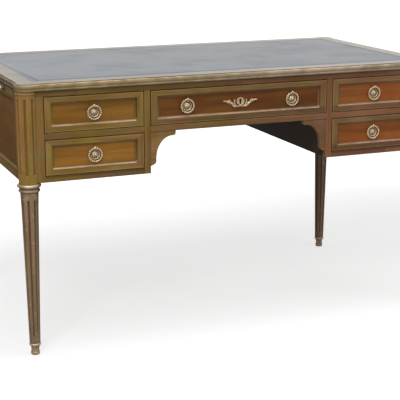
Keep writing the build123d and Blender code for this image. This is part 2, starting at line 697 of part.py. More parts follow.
for side, sx in (("left", -1), ("right", 1)):
    knob_axes = [
        Plane(origin=(sx * SLIDE_EDGE_X, sy * SLIDE_KNOB_Y, SLIDE_MID_Z), x_dir=(0, 1, 0), z_dir=(sx, 0, 0))
        for sy in (-1, 1)
    ]
    with BuildPart() as slide:
        bar(
            (sx * SLIDE_INNER_X, sx * SLIDE_EDGE_X),
            (-SLIDE_HALF_Y, SLIDE_HALF_Y),
            (SLIDE_LOW, SLIDE_LOW + SLIDE_THICK),
        )
        with Locations(*knob_axes):
            Cylinder(
                KNOB_STUD_R,
                KNOB_STUD,
                align=(Align.CENTER, Align.CENTER, Align.MAX),
                mode=Mode.SUBTRACT,
            )
    save(slide.part, f"slide_{side}")

    with BuildPart() as slide_knobs:
        for knob_axis in knob_axes:
            # half outline of a turned knob: stud, foot, neck and round head
            outline_plane = Plane(origin=knob_axis.origin, x_dir=(0, 1, 0), z_dir=(0, 0, -sx))
            with BuildSketch(outline_plane):
                with BuildLine():
                    Polyline(
                        (0, KNOB_MID + KNOB_R),
                        (0, -KNOB_STUD),
                        (KNOB_STUD_R, -KNOB_STUD),
                        (KNOB_STUD_R, 0),
                        (6.5, 0),
                        (6.5, 1.5),
                        (KNOB_NECK_R, 2.6),
                        (KNOB_NECK_R, KNOB_MID - math.sqrt(KNOB_R**2 - KNOB_NECK_R**2)),
                    )
                    ThreePointArc(
                        (KNOB_NECK_R, KNOB_MID - math.sqrt(KNOB_R**2 - KNOB_NECK_R**2)),
                        (KNOB_R, KNOB_MID),
                        (0, KNOB_MID + KNOB_R),
                    )
                make_face()
            revolve(axis=Axis(knob_axis.origin, (sx, 0, 0)))
    save(slide_knobs.part, f"slide_knobs_{side}")

# ---------------------------------------------------------------- drawers
DRAWER_X = (KNEE_STILE_X + GAP, CORNER_EDGE_X - GAP)
UPPER_Z = (MID_RAIL_HIGH + GAP, TOP_RAIL_LOW - GAP)
LOWER_Z = (BOTTOM_RAIL_HIGH + GAP, MID_RAIL_LOW - GAP)
LOW_BOX_TOP = SLIDE_GUIDE_LOW - 3.0     # pedestal drawers pass under the slides
CENTRE_BOX_TOP = 712.0
LOWER_BOX_TOP = 595.0

DRAWERS = {
    # name: (left, right), (bottom, top), top of the box, pulls' places along X
    "upper_left": ((-DRAWER_X[1], -DRAWER_X[0]), UPPER_Z, LOW_BOX_TOP, None),
    "lower_left": ((-DRAWER_X[1], -DRAWER_X[0]), LOWER_Z, LOWER_BOX_TOP, None),
    "centre": ((-KNEE_X + GAP, KNEE_X - GAP), UPPER_Z, CENTRE_BOX_TOP, (-CENTRE_PULL_X, CENTRE_PULL_X)),
    "upper_right": (DRAWER_X, UPPER_Z, LOW_BOX_TOP, None),
    "lower_right": (DRAWER_X, LOWER_Z, LOWER_BOX_TOP, None),
}

TAIL_DEPTH = 11.0
TAIL_NECK = 12.0
TAIL_END = 16.0
TAILS = 3
STUD_R = 2.0
STUD_LENGTH = BOARD - FIELD_DEPTH + 7.0
RIM_LOW_R = 11.8        # inner edge of the rosette's raised rim
RIM_EDGE = 1.2          # height of the rosette's square edge
GROOVE_R = 10.4         # bottom of the groove inside the rim
GROOVE_RISE = 0.9
DOME_EDGE = 9.0         # rosette's dome, round its centre
DOME_FOOT = 1.4
DOME_MID = -6.0         # centre of the dome's curve, behind the field
BUTTON_R = 2.6          # round button on the dome
BUTTON_RISE = 6.0


def tail_places(z_low, z_high):
    """Heights of the dovetails along a drawer side."""
    pitch = (z_high - z_low) / TAILS
    return [z_low + pitch * (i + 0.5) for i in range(TAILS)]


def dovetails(x_span, z_low, z_high, mode=Mode.ADD):
    """Tails that run forward from a drawer side into the drawer front."""
    x_low, x_high = sorted(x_span)
    with BuildSketch(Plane.YZ.offset(x_low)) as tails:
        for z in tail_places(z_low, z_high):
            with BuildLine():
                Polyline(
                    (-BACK_OF_FRONT, z - TAIL_NECK / 2),
                    (-BACK_OF_FRONT - TAIL_DEPTH, z - TAIL_END / 2),
                    (-BACK_OF_FRONT - TAIL_DEPTH, z + TAIL_END / 2),
                    (-BACK_OF_FRONT, z + TAIL_NECK / 2),
                    close=True,
                )
            make_face()
    extrude(tails.sketch, amount=x_high - x_low, mode=mode)


def dome_point(r):
    """Point of the rosette's dome at a radius, as (radius, rise)."""
    dome_r = math.hypot(DOME_EDGE, DOME_FOOT - DOME_MID)
    return (r, DOME_MID + math.sqrt(dome_r**2 - r**2))


def pull_plate(x, z):
    """Rosette with its stud, and a neck up to the eye that the ring hangs in."""
    field = Plane(origin=(x, -FIELD_Y, z), x_dir=(1, 0, 0), z_dir=(0, -1, 0))
    turning = Plane(origin=(x, -FIELD_Y, z), x_dir=(1, 0, 0), z_dir=(0, 0, -1))
    eye = Plane(origin=(x, -FIELD_Y - RING_STAND, z + RING_R), x_dir=(0, 1, 0), z_dir=(1, 0, 0))
    neck_half = 2.0
    with BuildPart() as plate:
        with BuildSketch(turning):
            with BuildLine():
                Polyline(
                    (0, BUTTON_RISE + BUTTON_R),
                    (0, -STUD_LENGTH),
                    (STUD_R, -STUD_LENGTH),
                    (STUD_R, 0),
                    (ROSETTE_R, 0),
                    (ROSETTE_R, RIM_EDGE),
                )
                rim_top = ((ROSETTE_R + RIM_LOW_R) / 2, 3.0)
                ThreePointArc((ROSETTE_R, RIM_EDGE), rim_top, (RIM_LOW_R, 2.0))
                Polyline((RIM_LOW_R, 2.0), (GROOVE_R, GROOVE_RISE), (DOME_EDGE, DOME_FOOT))
                ThreePointArc((DOME_EDGE, DOME_FOOT), dome_point(5.6), dome_point(BUTTON_R))
                Line(dome_point(BUTTON_R), (BUTTON_R, BUTTON_RISE))
                ThreePointArc(
                    (BUTTON_R, BUTTON_RISE),
                    (BUTTON_R * math.sqrt(0.5), BUTTON_RISE + BUTTON_R * math.sqrt(0.5)),
                    (0, BUTTON_RISE + BUTTON_R),
                )
            make_face()
        revolve(axis=Axis((x, -FIELD_Y, z), (0, -1, 0)))
        with BuildSketch(field):
            with Locations((0, (RIM_LOW_R + RING_R + RING_WIRE_R) / 2)):
                Rectangle(2 * neck_half, RING_R + RING_WIRE_R - RIM_LOW_R)
        extrude(amount=RING_STAND - RING_WIRE_R - EYE_CLEAR)
        with Locations(eye):
            Cylinder(RING_STAND, 2 * neck_half)
            Cylinder(RING_WIRE_R + EYE_CLEAR, 2 * neck_half, mode=Mode.SUBTRACT)
    return plate.part


def pull_nut(x, z):
    """Square nut on the stud, against the back of the drawer front."""
    nut_half, nut_thick = 4.5, 3.0
    with BuildPart() as nut:
        bar(
            (x - nut_half, x + nut_half),
            (-BACK_OF_FRONT, -BACK_OF_FRONT + nut_thick),
            (z - nut_half, z + nut_half),
        )
        stud_hole(x, z)
    return nut.part


def stud_hole(x, z):
    """Hole for a pull's stud."""
    with Locations(Plane(origin=(x, -FIELD_Y, z), x_dir=(1, 0, 0), z_dir=(0, -1, 0))):
        Cylinder(STUD_R, 60.0, mode=Mode.SUBTRACT)


def pull_ring(x, z):
    """Ring that hangs in the plate's eye."""
    with BuildPart() as ring:
        with Locations(Plane(origin=(x, -FIELD_Y - RING_STAND, z), x_dir=(1, 0, 0), z_dir=(0, -1, 0))):
            Torus(RING_R, RING_WIRE_R)
    return ring.part


# ---------------------------------------------------------------- lock of the centre drawer
PULL_Z = sum(UPPER_Z) / 2 - PULL_DROP
KEYHOLE_Z = PULL_Z + 2.0 + PULL_DROP
KEYHOLE_R = 2.3
KEY_SLOT = 7.0
KEY_SLOT_HALF = 1.0
KEY_DEPTH = 4.0         # keyhole's depth in the lock case
LOCK_HALF_X = 27.0
LOCK_LOW = KEYHOLE_Z - 18.0
LOCK_Y = (-(BACK_OF_FRONT + 9.5), -BACK_OF_FRONT)
BOLT_LOW = UPPER_Z[1] - 24.0
BOLT_REST_TOP = UPPER_Z[1] - 0.8
ESCUTCHEON_THICK = 1.4


def lock_room(mode=Mode.ADD):
    """The lock case's block, open to the back and the top of the drawer front."""
    bar((-LOCK_HALF_X, LOCK_HALF_X), LOCK_Y, (LOCK_LOW, UPPER_Z[1]), mode=mode)


def keyhole():
    """Keyhole through the escutcheon and the drawer front, into the lock case."""
    with BuildSketch(Plane.XZ.offset(FIELD_Y + ESCUTCHEON_THICK)) as hole:
        with Locations((0, KEYHOLE_Z)):
            Circle(KEYHOLE_R)
        with Locations((0, KEYHOLE_Z - KEY_SLOT / 2)):
            Rectangle(2 * KEY_SLOT_HALF, KEY_SLOT)
    depth = FIELD_Y + ESCUTCHEON_THICK + LOCK_Y[0] + KEY_DEPTH
    extrude(hole.sketch, amount=-depth, mode=Mode.SUBTRACT)


with BuildPart() as lock_case:
    lock_room()
    # channel that the bolt slides in
    bar(
        (-BOLT_HALF_X - SLIP, BOLT_HALF_X + SLIP),
        (BOLT_Y - BOLT_HALF_Y - SLIP, BOLT_Y + BOLT_HALF_Y + SLIP),
        (BOLT_LOW - SLIP, UPPER_Z[1]),
        mode=Mode.SUBTRACT,
    )
    keyhole()
save(lock_case.part, "lock_case")

with BuildPart() as lock_bolt:
    bar(
        (-BOLT_HALF_X, BOLT_HALF_X),
        (BOLT_Y - BOLT_HALF_Y, BOLT_Y + BOLT_HALF_Y),
        (BOLT_LOW, BOLT_REST_TOP),
    )
save(lock_bolt.part, "lock_bolt")

# escutcheon: an oval shield over two leafy branches that cross below it
SHIELD_HALF_X = 12.5
SHIELD_HALF_Z = 11.5
SPRAY_LOW_EDGE = [(0, -16.5), (16, -15.2), (27, -9.0), (34.5, -2.6), (43, -0.6), (54, 1.0)]
SPRAY_HIGH_EDGE = [(54, 3.0), (43, 4.6), (33, 4.2), (24.5, -2.0), (21, -4.0)]
HORN = [(21, -4.0), (19.5, 3.6), (17.2, 5.6), (15.4, 2.0), (15.2, -6.0), (12, -10.6), (0, -11)]


def from_keyhole(points):
    """Points of the escutcheon's outline, moved from the keyhole's centre to the drawer's frame."""
    return [(x, KEYHOLE_Z + z) for x, z in points]


with BuildPart() as escutcheon:
    with BuildSketch(Plane.XZ.offset(FIELD_Y)):
        with Locations((0, KEYHOLE_Z)):
            Ellipse(SHIELD_HALF_X, SHIELD_HALF_Z)
        with BuildLine():
            Spline(*from_keyhole(SPRAY_LOW_EDGE))
            Line(*from_keyhole([SPRAY_LOW_EDGE[-1], SPRAY_HIGH_EDGE[0]]))
            Polyline(*from_keyhole(SPRAY_HIGH_EDGE))
            Polyline(*from_keyhole(HORN))
            Line(*from_keyhole([HORN[-1], SPRAY_LOW_EDGE[0]]))
        make_face()
        mirror(about=Plane.YZ)
    extrude(amount=ESCUTCHEON_THICK)
    keyhole()
save(escutcheon.part, "escutcheon")

# ---------------------------------------------------------------- the five drawers
for name, (x_span, z_span, box_top, pulls) in DRAWERS.items():
    x_low, x_high = x_span
    z_low, z_high = z_span
    inner = (x_low + DRAWER_SIDE, x_high - DRAWER_SIDE)
    side_spans = ((x_low, inner[0]), (inner[1], x_high))
    length = (-BACK_OF_FRONT, -BACK_OF_FRONT + DRAWER_LENGTH)
    bottom_z = (z_low + DRAWER_BOTTOM_RISE, z_low + DRAWER_BOTTOM_RISE + DRAWER_BOTTOM)
    pull_z = (z_low + z_high) / 2 - PULL_DROP
    pull_places = pulls or ((x_low + x_high) / 2,)

    with BuildPart() as drawer_front:
        add(panelled_board(x_span, z_span))
        for side_span in side_spans:
            dovetails(side_span, z_low, box_top, mode=Mode.SUBTRACT)
        # groove for the front edge of the bottom
        bar(inner, (-BACK_OF_FRONT - GROOVE, -BACK_OF_FRONT), bottom_z, mode=Mode.SUBTRACT)
        for pull_x in pull_places:
            stud_hole(pull_x, pull_z)
        if name == "centre":
            lock_room(mode=Mode.SUBTRACT)
            keyhole()
    save(drawer_front.part, f"{name}_drawer_front")

    carcase = []
    for side_span in side_spans:
        with BuildPart() as drawer_side:
            bar(side_span, length, (z_low, box_top))
            bar(
                (inner[0] - GROOVE, inner[1] + GROOVE),
                length,
                bottom_z,
                mode=Mode.SUBTRACT,
            )
            dovetails(side_span, z_low, box_top)
        carcase.append(drawer_side.part)
    with BuildPart() as drawer_back:
        bar(inner, (length[1] - DRAWER_SIDE, length[1]), (bottom_z[1], box_top - 5.0))
    carcase.append(drawer_back.part)
    save(Compound(children=carcase), f"{name}_drawer_sides")

    with BuildPart() as drawer_bottom:
        bar((inner[0] - GROOVE, inner[1] + GROOVE), length, bottom_z)
        bar(inner, (-BACK_OF_FRONT - GROOVE, -BACK_OF_FRONT), bottom_z)
    save(drawer_bottom.part, f"{name}_drawer_bottom")

    plates = []
    for pull_x in pull_places:
        plates += [pull_plate(pull_x, pull_z), pull_nut(pull_x, pull_z)]
        hand = "" if len(pull_places) == 1 else ("_left" if pull_x < 0 else "_right")
        save(pull_ring(pull_x, pull_z), f"{name}{hand}_ring")
    save(Compound(children=plates), f"{name}_pull_plates")
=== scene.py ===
"""Kneehole writing desk: wood, leather, brass fittings and studio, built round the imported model."""

import json
import math

import bmesh
import bpy
from bpy.props import FloatProperty, FloatVectorProperty, IntProperty, PointerProperty
from bpy.types import Operator, Panel, PropertyGroup
from mathutils import Matrix, Vector

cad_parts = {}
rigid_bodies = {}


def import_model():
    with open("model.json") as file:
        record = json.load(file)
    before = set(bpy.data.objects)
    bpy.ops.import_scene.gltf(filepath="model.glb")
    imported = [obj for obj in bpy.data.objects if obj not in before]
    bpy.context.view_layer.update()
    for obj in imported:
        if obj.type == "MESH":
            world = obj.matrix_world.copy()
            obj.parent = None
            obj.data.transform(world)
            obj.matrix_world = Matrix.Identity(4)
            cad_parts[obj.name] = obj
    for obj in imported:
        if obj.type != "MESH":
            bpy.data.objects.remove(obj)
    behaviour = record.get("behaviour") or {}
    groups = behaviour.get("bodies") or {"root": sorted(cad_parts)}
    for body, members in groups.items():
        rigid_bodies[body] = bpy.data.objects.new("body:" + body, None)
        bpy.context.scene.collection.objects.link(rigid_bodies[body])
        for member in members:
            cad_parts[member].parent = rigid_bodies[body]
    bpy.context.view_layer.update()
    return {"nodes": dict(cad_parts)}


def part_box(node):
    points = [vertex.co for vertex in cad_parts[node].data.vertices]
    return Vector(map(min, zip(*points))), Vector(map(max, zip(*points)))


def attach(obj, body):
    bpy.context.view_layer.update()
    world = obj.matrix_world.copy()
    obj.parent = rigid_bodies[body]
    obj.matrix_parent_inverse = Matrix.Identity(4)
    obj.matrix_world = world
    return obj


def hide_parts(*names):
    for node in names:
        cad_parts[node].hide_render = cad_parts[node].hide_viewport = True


bl_info = {
    "name": "Kneehole writing desk",
    "version": (1, 0, 0),
    "blender": (4, 5, 0),
    "location": "View3D > Sidebar > Desk",
    "description": "Wood, leather, brass fittings and studio for a kneehole writing desk",
    "category": "Object",
}

for stray in list(bpy.data.objects):
    bpy.data.objects.remove(stray)
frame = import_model()
NODES = frame["nodes"]

MM = 0.001
POST_X, POST_Y, POST_RADIUS = 0.616, 0.329, 0.0275   # corner posts
FIELD_FACE = 0.340                      # sunk fields of the drawer fronts, before the middle
RING_PLANE = 0.345                      # rings hang in this plane
SIDE_FACE = 0.634                       # outer faces of the slides' ends
CASE_BOTTOM, TOP_FACE = 0.4905, 0.760
TOP_X, TOP_Y, EAR_RADIUS = 0.643, 0.356, 0.033   # edges of the top, and its ears round the posts
FRAME_UPRIGHT, FRAME_CROSS, COVE = 0.0195, 0.0157, 0.0065   # flat frame of a drawer front, and the cove inside it
PANEL_Y, PANEL_Z, PANEL_MIDDLE = 0.262, 0.0915, 0.6125   # half sizes and middle height of an end panel
LEATHER_X, LEATHER_Y = 0.591, 0.304     # half sizes of the leather
KEYHOLE_Z = 0.676
HIGHLIGHT_HEIGHTS = (0.545, 0.700)                # heights where the painted golden highlight on the posts is strongest
RING_RADIUS = 18.6                      # millimetres, to the middle of the wire
KNOB, DOME, GROOVE, CREST, RIM = 2.6, 9.0, 10.2, 13.2, 14.0   # a rosette's radii in millimetres
ROSETTE_RADII = (                       # and those of its rows of points
    *(0, 0.9, 1.7, 2.3, KNOB, 2.9, 3.6, 4.6, 5.6, 6.6, 7.6, 8.4, 8.8, DOME),
    *(9.5, GROOVE, 10.8, 11.5, 12.2, 12.8, CREST, 13.6, 13.9, RIM),
)
CORNERS = ("front_left", "front_right", "back_left", "back_right")
DRAWERS = ("upper_left", "lower_left", "centre", "upper_right", "lower_right")
PULLS = {
    # ring's body: (drawer, x, z)
    "upper_left_ring": ("upper_left", -0.43275, 0.6725),
    "lower_left_ring": ("lower_left", -0.43275, 0.5555),
    "centre_left_ring": ("centre", -0.162, 0.6725),
    "centre_right_ring": ("centre", 0.162, 0.6725),
    "upper_right_ring": ("upper_right", 0.43275, 0.6725),
    "lower_right_ring": ("lower_right", 0.43275, 0.5555),
}


def shade(code):
    """Linear colour of a six-digit colour code."""
    parts = [int(code[i : i + 2], 16) / 255 for i in (0, 2, 4)]
    return tuple(p / 12.92 if p <= 0.04045 else ((p + 0.055) / 1.055) ** 2.4 for p in parts)


def colour_property(name, description, code):
    return FloatVectorProperty(
        name=name, description=description, subtype="COLOR", size=3, min=0, max=1, default=shade(code)
    )


def length_property(name, description, millimetres):
    return FloatProperty(
        name=name, description=description, default=millimetres * MM, min=0, unit="LENGTH", precision=5
    )


class DeskSizes(PropertyGroup):
    """Sizes of the detail that a user may change."""

    edge_round: length_property("Edge round", "Worn round along the edges of wood members", 0.7)
    ring_pearls: IntProperty(name="Ring pearls", description="Pearls round a pull's ring", default=18, min=8)
    pearl_radius: length_property("Pearl radius", "Radius of one pearl of a ring", 2.1)
    rosette_petals: IntProperty(name="Petals", description="Petals of a pull's rosette", default=12, min=4)
    rosette_pearls: IntProperty(name="Rosette pearls", description="Pearls on a rosette's rim", default=28, min=8)
    tooling_inset: length_property("Tooling inset", "Tooled line, inside the leather's edge", 8.0)
    tooling_depth: length_property("Tooling depth", "Depth of the tooled lines in the leather", 0.35)


class DeskFinishes(PropertyGroup):
    """Colours that a user may change."""

    frame_gold: colour_property("Frame, left", "Polished frame wood at the desk's left", "806427")
    frame_red: colour_property("Frame, right", "Polished frame wood at the desk's right", "89593b")
    frame_olive: colour_property("Drawer frames, right", "Frames of the drawer fronts at the right", "785739")
    blush: colour_property("Blush", "Pinkish clouds in the frame wood", "90654e")
    olive: colour_property("Olive", "Greenish clouds in the frame wood", "7c7030")
    # Painted highlight: the pale tone of the ledges under the fields stands in for the light they catch
    ledge_highlight: colour_property("Worn ledges", "Rubbed wood on the ledges under the drawers' fields", "b69a8a")
    leg_grey: colour_property("Legs", "Greyer tone that the legs take", "8c7664")
    field_gold: colour_property("Field, left", "Drawer veneer at the desk's left", "865a1e")
    field_brown: colour_property("Field, centre", "Drawer veneer in the middle", "6b3c15")
    field_red: colour_property("Field, right", "Drawer veneer at the desk's right", "86491d")
    end_veneer: colour_property("End panels", "Veneer of the end panels", "70480d")
    # Painted highlight: a golden tone down the outer side of the posts, where the light catches them
    post_highlight: colour_property("Rubbed posts", "Golden wood on the outer side of the posts", "a8743a")
    moulding: colour_property("Top moulding", "Rubbed wood of the top's moulded edge", "937f58")
    moulding_right: colour_property("Top moulding, right", "The moulded edge at the desk's right", "99856f")
    top_wood: colour_property("Top border", "Wood round the leather", "665c4e")
    leather: colour_property("Leather", "Writing leather", "1e2b39")
    brass: colour_property("Brass", "Bright brass of the fittings", "d8c09c")
    tarnish: colour_property("Tarnish", "Brass in the hollows", "4a3a22")
    carcase: colour_property("Carcase", "Wood of drawer sides and runners", "a5834f")
    # Painted shade: a very dark tone on the kneehole's sides that stands in for the shade inside it
    dark_tone: colour_property("Kneehole stain", "Dark stain inside the kneehole", "382d25")


def maths(operation, swapped=False):
    """Method that adds one maths node; swapped puts the other value first."""

    def method(self, *other):
        values = (*other, self) if swapped else (self, *other)
        return self.shader.node("ShaderNodeMath", {"operation": operation}, dict(enumerate(values)))

    return method


class Value:
    """One socket of a node tree, for shader maths written as plain arithmetic."""

    def __init__(self, shader, socket):
        self.shader, self.socket = shader, socket

    __add__ = __radd__ = maths("ADD")
    __mul__ = __rmul__ = maths("MULTIPLY")
    __sub__, __rsub__ = maths("SUBTRACT"), maths("SUBTRACT", swapped=True)
    __pow__, __abs__ = maths("POWER"), maths("ABSOLUTE")
    least, most = maths("MINIMUM"), maths("MAXIMUM")

    def __neg__(self):
        return self * -1.0

    def step(self, low, high):
        """0 below low, 1 above high, smooth between."""
        settings = {"interpolation_type": "SMOOTHSTEP"}
        return self.shader.node("ShaderNodeMapRange", settings, {0: self, 1: low, 2: high})

    def band(self, low, high, soft):
        """1 between low and high, 0 outside, with soft edges."""
        return self.step(low - soft, low + soft) * (1 - self.step(high - soft, high + soft))


class Shader:
    """A node tree, with short ways to add to it."""

    def __init__(self, tree):
        self.tree = tree
        self.tree.nodes.clear()

    def node(self, kind, settings=None, inputs=None, output=0):
        """Adds one node: its settings first, then the values or links of its sockets."""
        new = self.tree.nodes.new(kind)
        for name, value in (settings or {}).items():
            setattr(new, name, value)
        for key, value in (inputs or {}).items():
            if isinstance(value, Value):
                self.tree.links.new(value.socket, new.inputs[key])
            else:
                new.inputs[key].default_value = value
        return Value(self, new.outputs[output]) if new.outputs else new

    def split(self, vector):
        parts = self.node("ShaderNodeSeparateXYZ", inputs={0: vector}).socket.node.outputs
        return [Value(self, parts[i]) for i in range(3)]

    def join(self, x, y, z):
        return self.node("ShaderNodeCombineXYZ", inputs={0: x, 1: y, 2: z})

    def vector(self, operation, *vectors, **named):
        inputs = {**dict(enumerate(vectors)), **named}
        return self.node("ShaderNodeVectorMath", {"operation": operation}, inputs)

    def mix(self, factor, one, other):
        """Colour between one, at 0, and other, at 1."""
        colours = [c if isinstance(c, Value) else (*c[:3], 1.0) for c in (one, other)]
        inputs = {0: factor, 6: colours[0], 7: colours[1]}
        return self.node("ShaderNodeMix", {"data_type": "RGBA"}, inputs, 2)

    def mix_vectors(self, factor, one, other):
        return self.node("ShaderNodeMix", {"data_type": "VECTOR"}, {0: factor, 4: one, 5: other}, 1)

    def tone(self, colour):
        """One colour all over, for further maths."""
        return self.mix(0.0, colour, colour)

    def darken(self, colour, factor):
        """The colour times a factor."""
        return self.vector("SCALE", colour, Scale=factor)

    def noise(self, vector, scale=1.0, detail=2, roughness=0.5, distortion=0.0):
        inputs = {"Vector": vector, "Scale": scale, "Detail": detail}
        inputs.update(Roughness=roughness, Distortion=distortion)
        return self.node("ShaderNodeTexNoise", inputs=inputs)

    def stretch(self, along, lengthwise, crosswise):
        """Coordinates scaled along the grain and across it."""
        return self.vector("MULTIPLY", along, (lengthwise, crosswise, crosswise))


class Finish(Shader):
    """One material of the desk."""

    def __init__(self, name):
        self.material = bpy.data.materials.new(name)
        self.material.use_nodes = True
        super().__init__(self.material.node_tree)
        self.surface = self.tree.nodes.new("ShaderNodeBsdfPrincipled")
        output = self.tree.nodes.new("ShaderNodeOutputMaterial")
        self.tree.links.new(self.surface.outputs[0], output.inputs[0])
        self.place = self.node("ShaderNodeTexCoord", output="Object")
        self.x, self.y, self.z = self.split(self.place)

    def set(self, **sockets):
        """Sets or links the shader's sockets; a name's underscores stand for spaces."""
        for name, value in sockets.items():
            socket = self.surface.inputs[name.replace("_", " ")]
            if isinstance(value, Value):
                self.tree.links.new(value.socket, socket)
            else:
                socket.default_value = value

    def relief(self, height, depth):
        """Bump from a height of 0 to 1 that stands for a depth in metres. Returns the material."""
        inputs = {"Strength": 1.0, "Distance": depth, "Height": height}
        self.set(Normal=self.node("ShaderNodeBump", inputs=inputs, output="Normal"))
        return self.material

    def spots(self, scale, detail, **more):
        """Noise that stays put on the desk."""
        return self.noise(self.place, scale=scale, detail=detail, **more)

    def along(self, axis):
        """Coordinates turned so that the grain, along axis, is their first."""
        order = {"X": (self.x, self.y, self.z), "Y": (self.y, self.x, self.z), "Z": (self.z, self.y, self.x)}
        return self.join(*order[axis])

    def post_radius(self):
        """Distance from the nearest corner post's axis."""
        dx, dy = abs(self.x) - POST_X, abs(self.y) - POST_Y
        return (dx * dx + dy * dy) ** 0.5


# ---------------------------------------------------------------- wood
def shifted(finish, along, cells):
    """Moves the grain's pattern to another place in each cell, so that neighbouring members differ."""
    cell = finish.vector("FLOOR", finish.vector("MULTIPLY", finish.place, cells))
    jump = finish.node("ShaderNodeTexWhiteNoise", {"noise_dimensions": "3D"}, {"Vector": cell}, "Color")
    return finish.vector("ADD", along, finish.vector("SCALE", jump, Scale=3.0))


def timber(finish, along, dark, light, streak=0.3, pores=0.3):
    """Colour and relief of wood whose grain runs along the first coordinate."""
    drift = finish.noise(finish.stretch(along, 1.6, 8.0), detail=2)
    figure = finish.noise(finish.stretch(along, 3.5, 55.0), detail=4, distortion=0.5)
    fibres = finish.noise(finish.stretch(along, 16.0, 800.0), detail=3)
    pore = finish.noise(finish.stretch(along, 110.0, 2600.0), detail=1).step(0.60, 0.72)
    tone = (drift * 0.45 + figure * 0.55).step(0.36, 0.64)
    colour = finish.mix(tone, dark, light)
    colour = finish.darken(colour, 1.0 + streak * (fibres - 0.5) - pores * pore)
    return colour, fibres * 0.6 - pore * 0.8 + 0.5


def polish(finish, colour, height, roughness=0.36, coat=0.5, specular=0.2):
    """Rubbed lacquer over wood, with faint smears."""
    smear = finish.spots(14.0, 3)
    finish.set(
        Base_Color=colour,
        Roughness=roughness + 0.16 * (smear - 0.5),
        Coat_Weight=coat,
        Coat_Roughness=0.16,
        Specular_IOR_Level=specular,
    )
    return finish.relief(height, 0.00012)


def frame_colours(finish, finishes, darker=1.0, right=None):
    """Dark and light tones of the frame wood, golden at the desk's left and redder at its right."""
    side = finish.x.step(-0.62, 0.5)
    cloud = finish.spots(11.0, 3).step(0.42, 0.66)
    moss = finish.spots(15.0, 2, distortion=0.4).step(0.48, 0.62)
    light = finish.mix(side, finishes.frame_gold, right or finishes.frame_red)
    light = finish.mix(cloud * 0.45, light, finishes.blush)
    light = finish.mix(moss * (0.42 - 0.2 * side), light, finishes.olive)
    dark = finish.darken(light, 0.62)
    if darker != 1.0:
        return finish.darken(dark, darker), finish.darken(light, darker)
    return dark, light


def frame_wood(name, finishes, axis, cells=(2.1, 2.3, 11.1), darker=1.0, right=None):
    """Polished wood of one straight member or a set of like members."""
    finish = Finish(name)
    dark, light = frame_colours(finish, finishes, darker, right)
    colour, height = timber(finish, shifted(finish, finish.along(axis), cells), dark, light)
    return polish(finish, colour, height)


def rail_wood(finishes):
    """Rails between the drawers; the lowest carries painted shade in the seam under the drawers and is greyed
    along its lower edge.
    """
    finish = Finish("rail_wood")
    dark, light = frame_colours(finish, finishes, 0.76)
    colour, height = timber(finish, shifted(finish, finish.along("X"), (2.1, 2.3, 11.1)), dark, light)
    up = finish.z - CASE_BOTTOM
    # Painted shade in the seam under the lower drawers
    colour = finish.mix(up.band(11.5 * MM, 18.5 * MM, 0.8 * MM) * 0.5, colour, shade("35200f"))
    colour = finish.mix((1 - up.step(2 * MM, 4 * MM)) * 0.4, colour, shade("55503f"))
    return polish(finish, colour, height)


def shaded_sides(finish):
    """Mask of painted shade down a leg's inner side and down a strip of its outer side."""
    out = abs(finish.x) - POST_X
    return ((-out).step(8 * MM, 22 * MM) * 0.9).most(out.step(17 * MM, 24 * MM) * 0.55)


def post_wood(name, finishes, surface_radius, grey=0.0):
    """Upright wood of a post or leg, with painted shade in its flutes, a painted golden highlight on its outer
    side and, on the legs, painted shade down their sides.

    surface_radius gives the outer radius at a height, and grey how far the legs' greyer tone takes over.
    """
    finish = Finish(name)
    dark, light = frame_colours(finish, finishes)
    # Painted highlight: a golden tone down each post's outer side, strongest over a band of heights
    highlight_heights = (0.55 + 0.45 * finish.z.band(*HIGHLIGHT_HEIGHTS, 0.030)).most(grey)
    highlight_share = (abs(finish.x) - POST_X).step(4 * MM, 14 * MM) * (0.62 - 0.5 * grey) * highlight_heights
    light = finish.mix(highlight_share, light, finishes.post_highlight)
    if grey:
        dark = finish.mix(grey, dark, finish.darken(finish.tone(finishes.leg_grey), 0.66))
        light = finish.mix(grey - 0.3 * highlight_share, light, finishes.leg_grey)
    colour, height = timber(finish, shifted(finish, finish.along("Z"), (1.0, 1.0, 0.1)), dark, light)
    below = surface_radius(finish) - finish.post_radius()
    chips = finish.spots(70.0, 3).step(0.56, 0.66)
    arris = below.band(-0.1 * MM, 0.7 * MM, 0.3 * MM) * chips * (0.1 + 0.3 * grey)
    colour = finish.mix(arris, colour, shade("c0a584"))
    # Painted shade: the flutes' hollows darkened
    flute_shade = below.step(0.5 * MM, 2.2 * MM)
    colour = finish.mix(flute_shade * (0.42 + 0.38 * grey), colour, shade("3c220c"))
    # Painted shade down the legs' sides
    colour = finish.mix(shaded_sides(finish) * grey * 1.1, colour, shade("2c2118"))
    return polish(finish, colour, height)


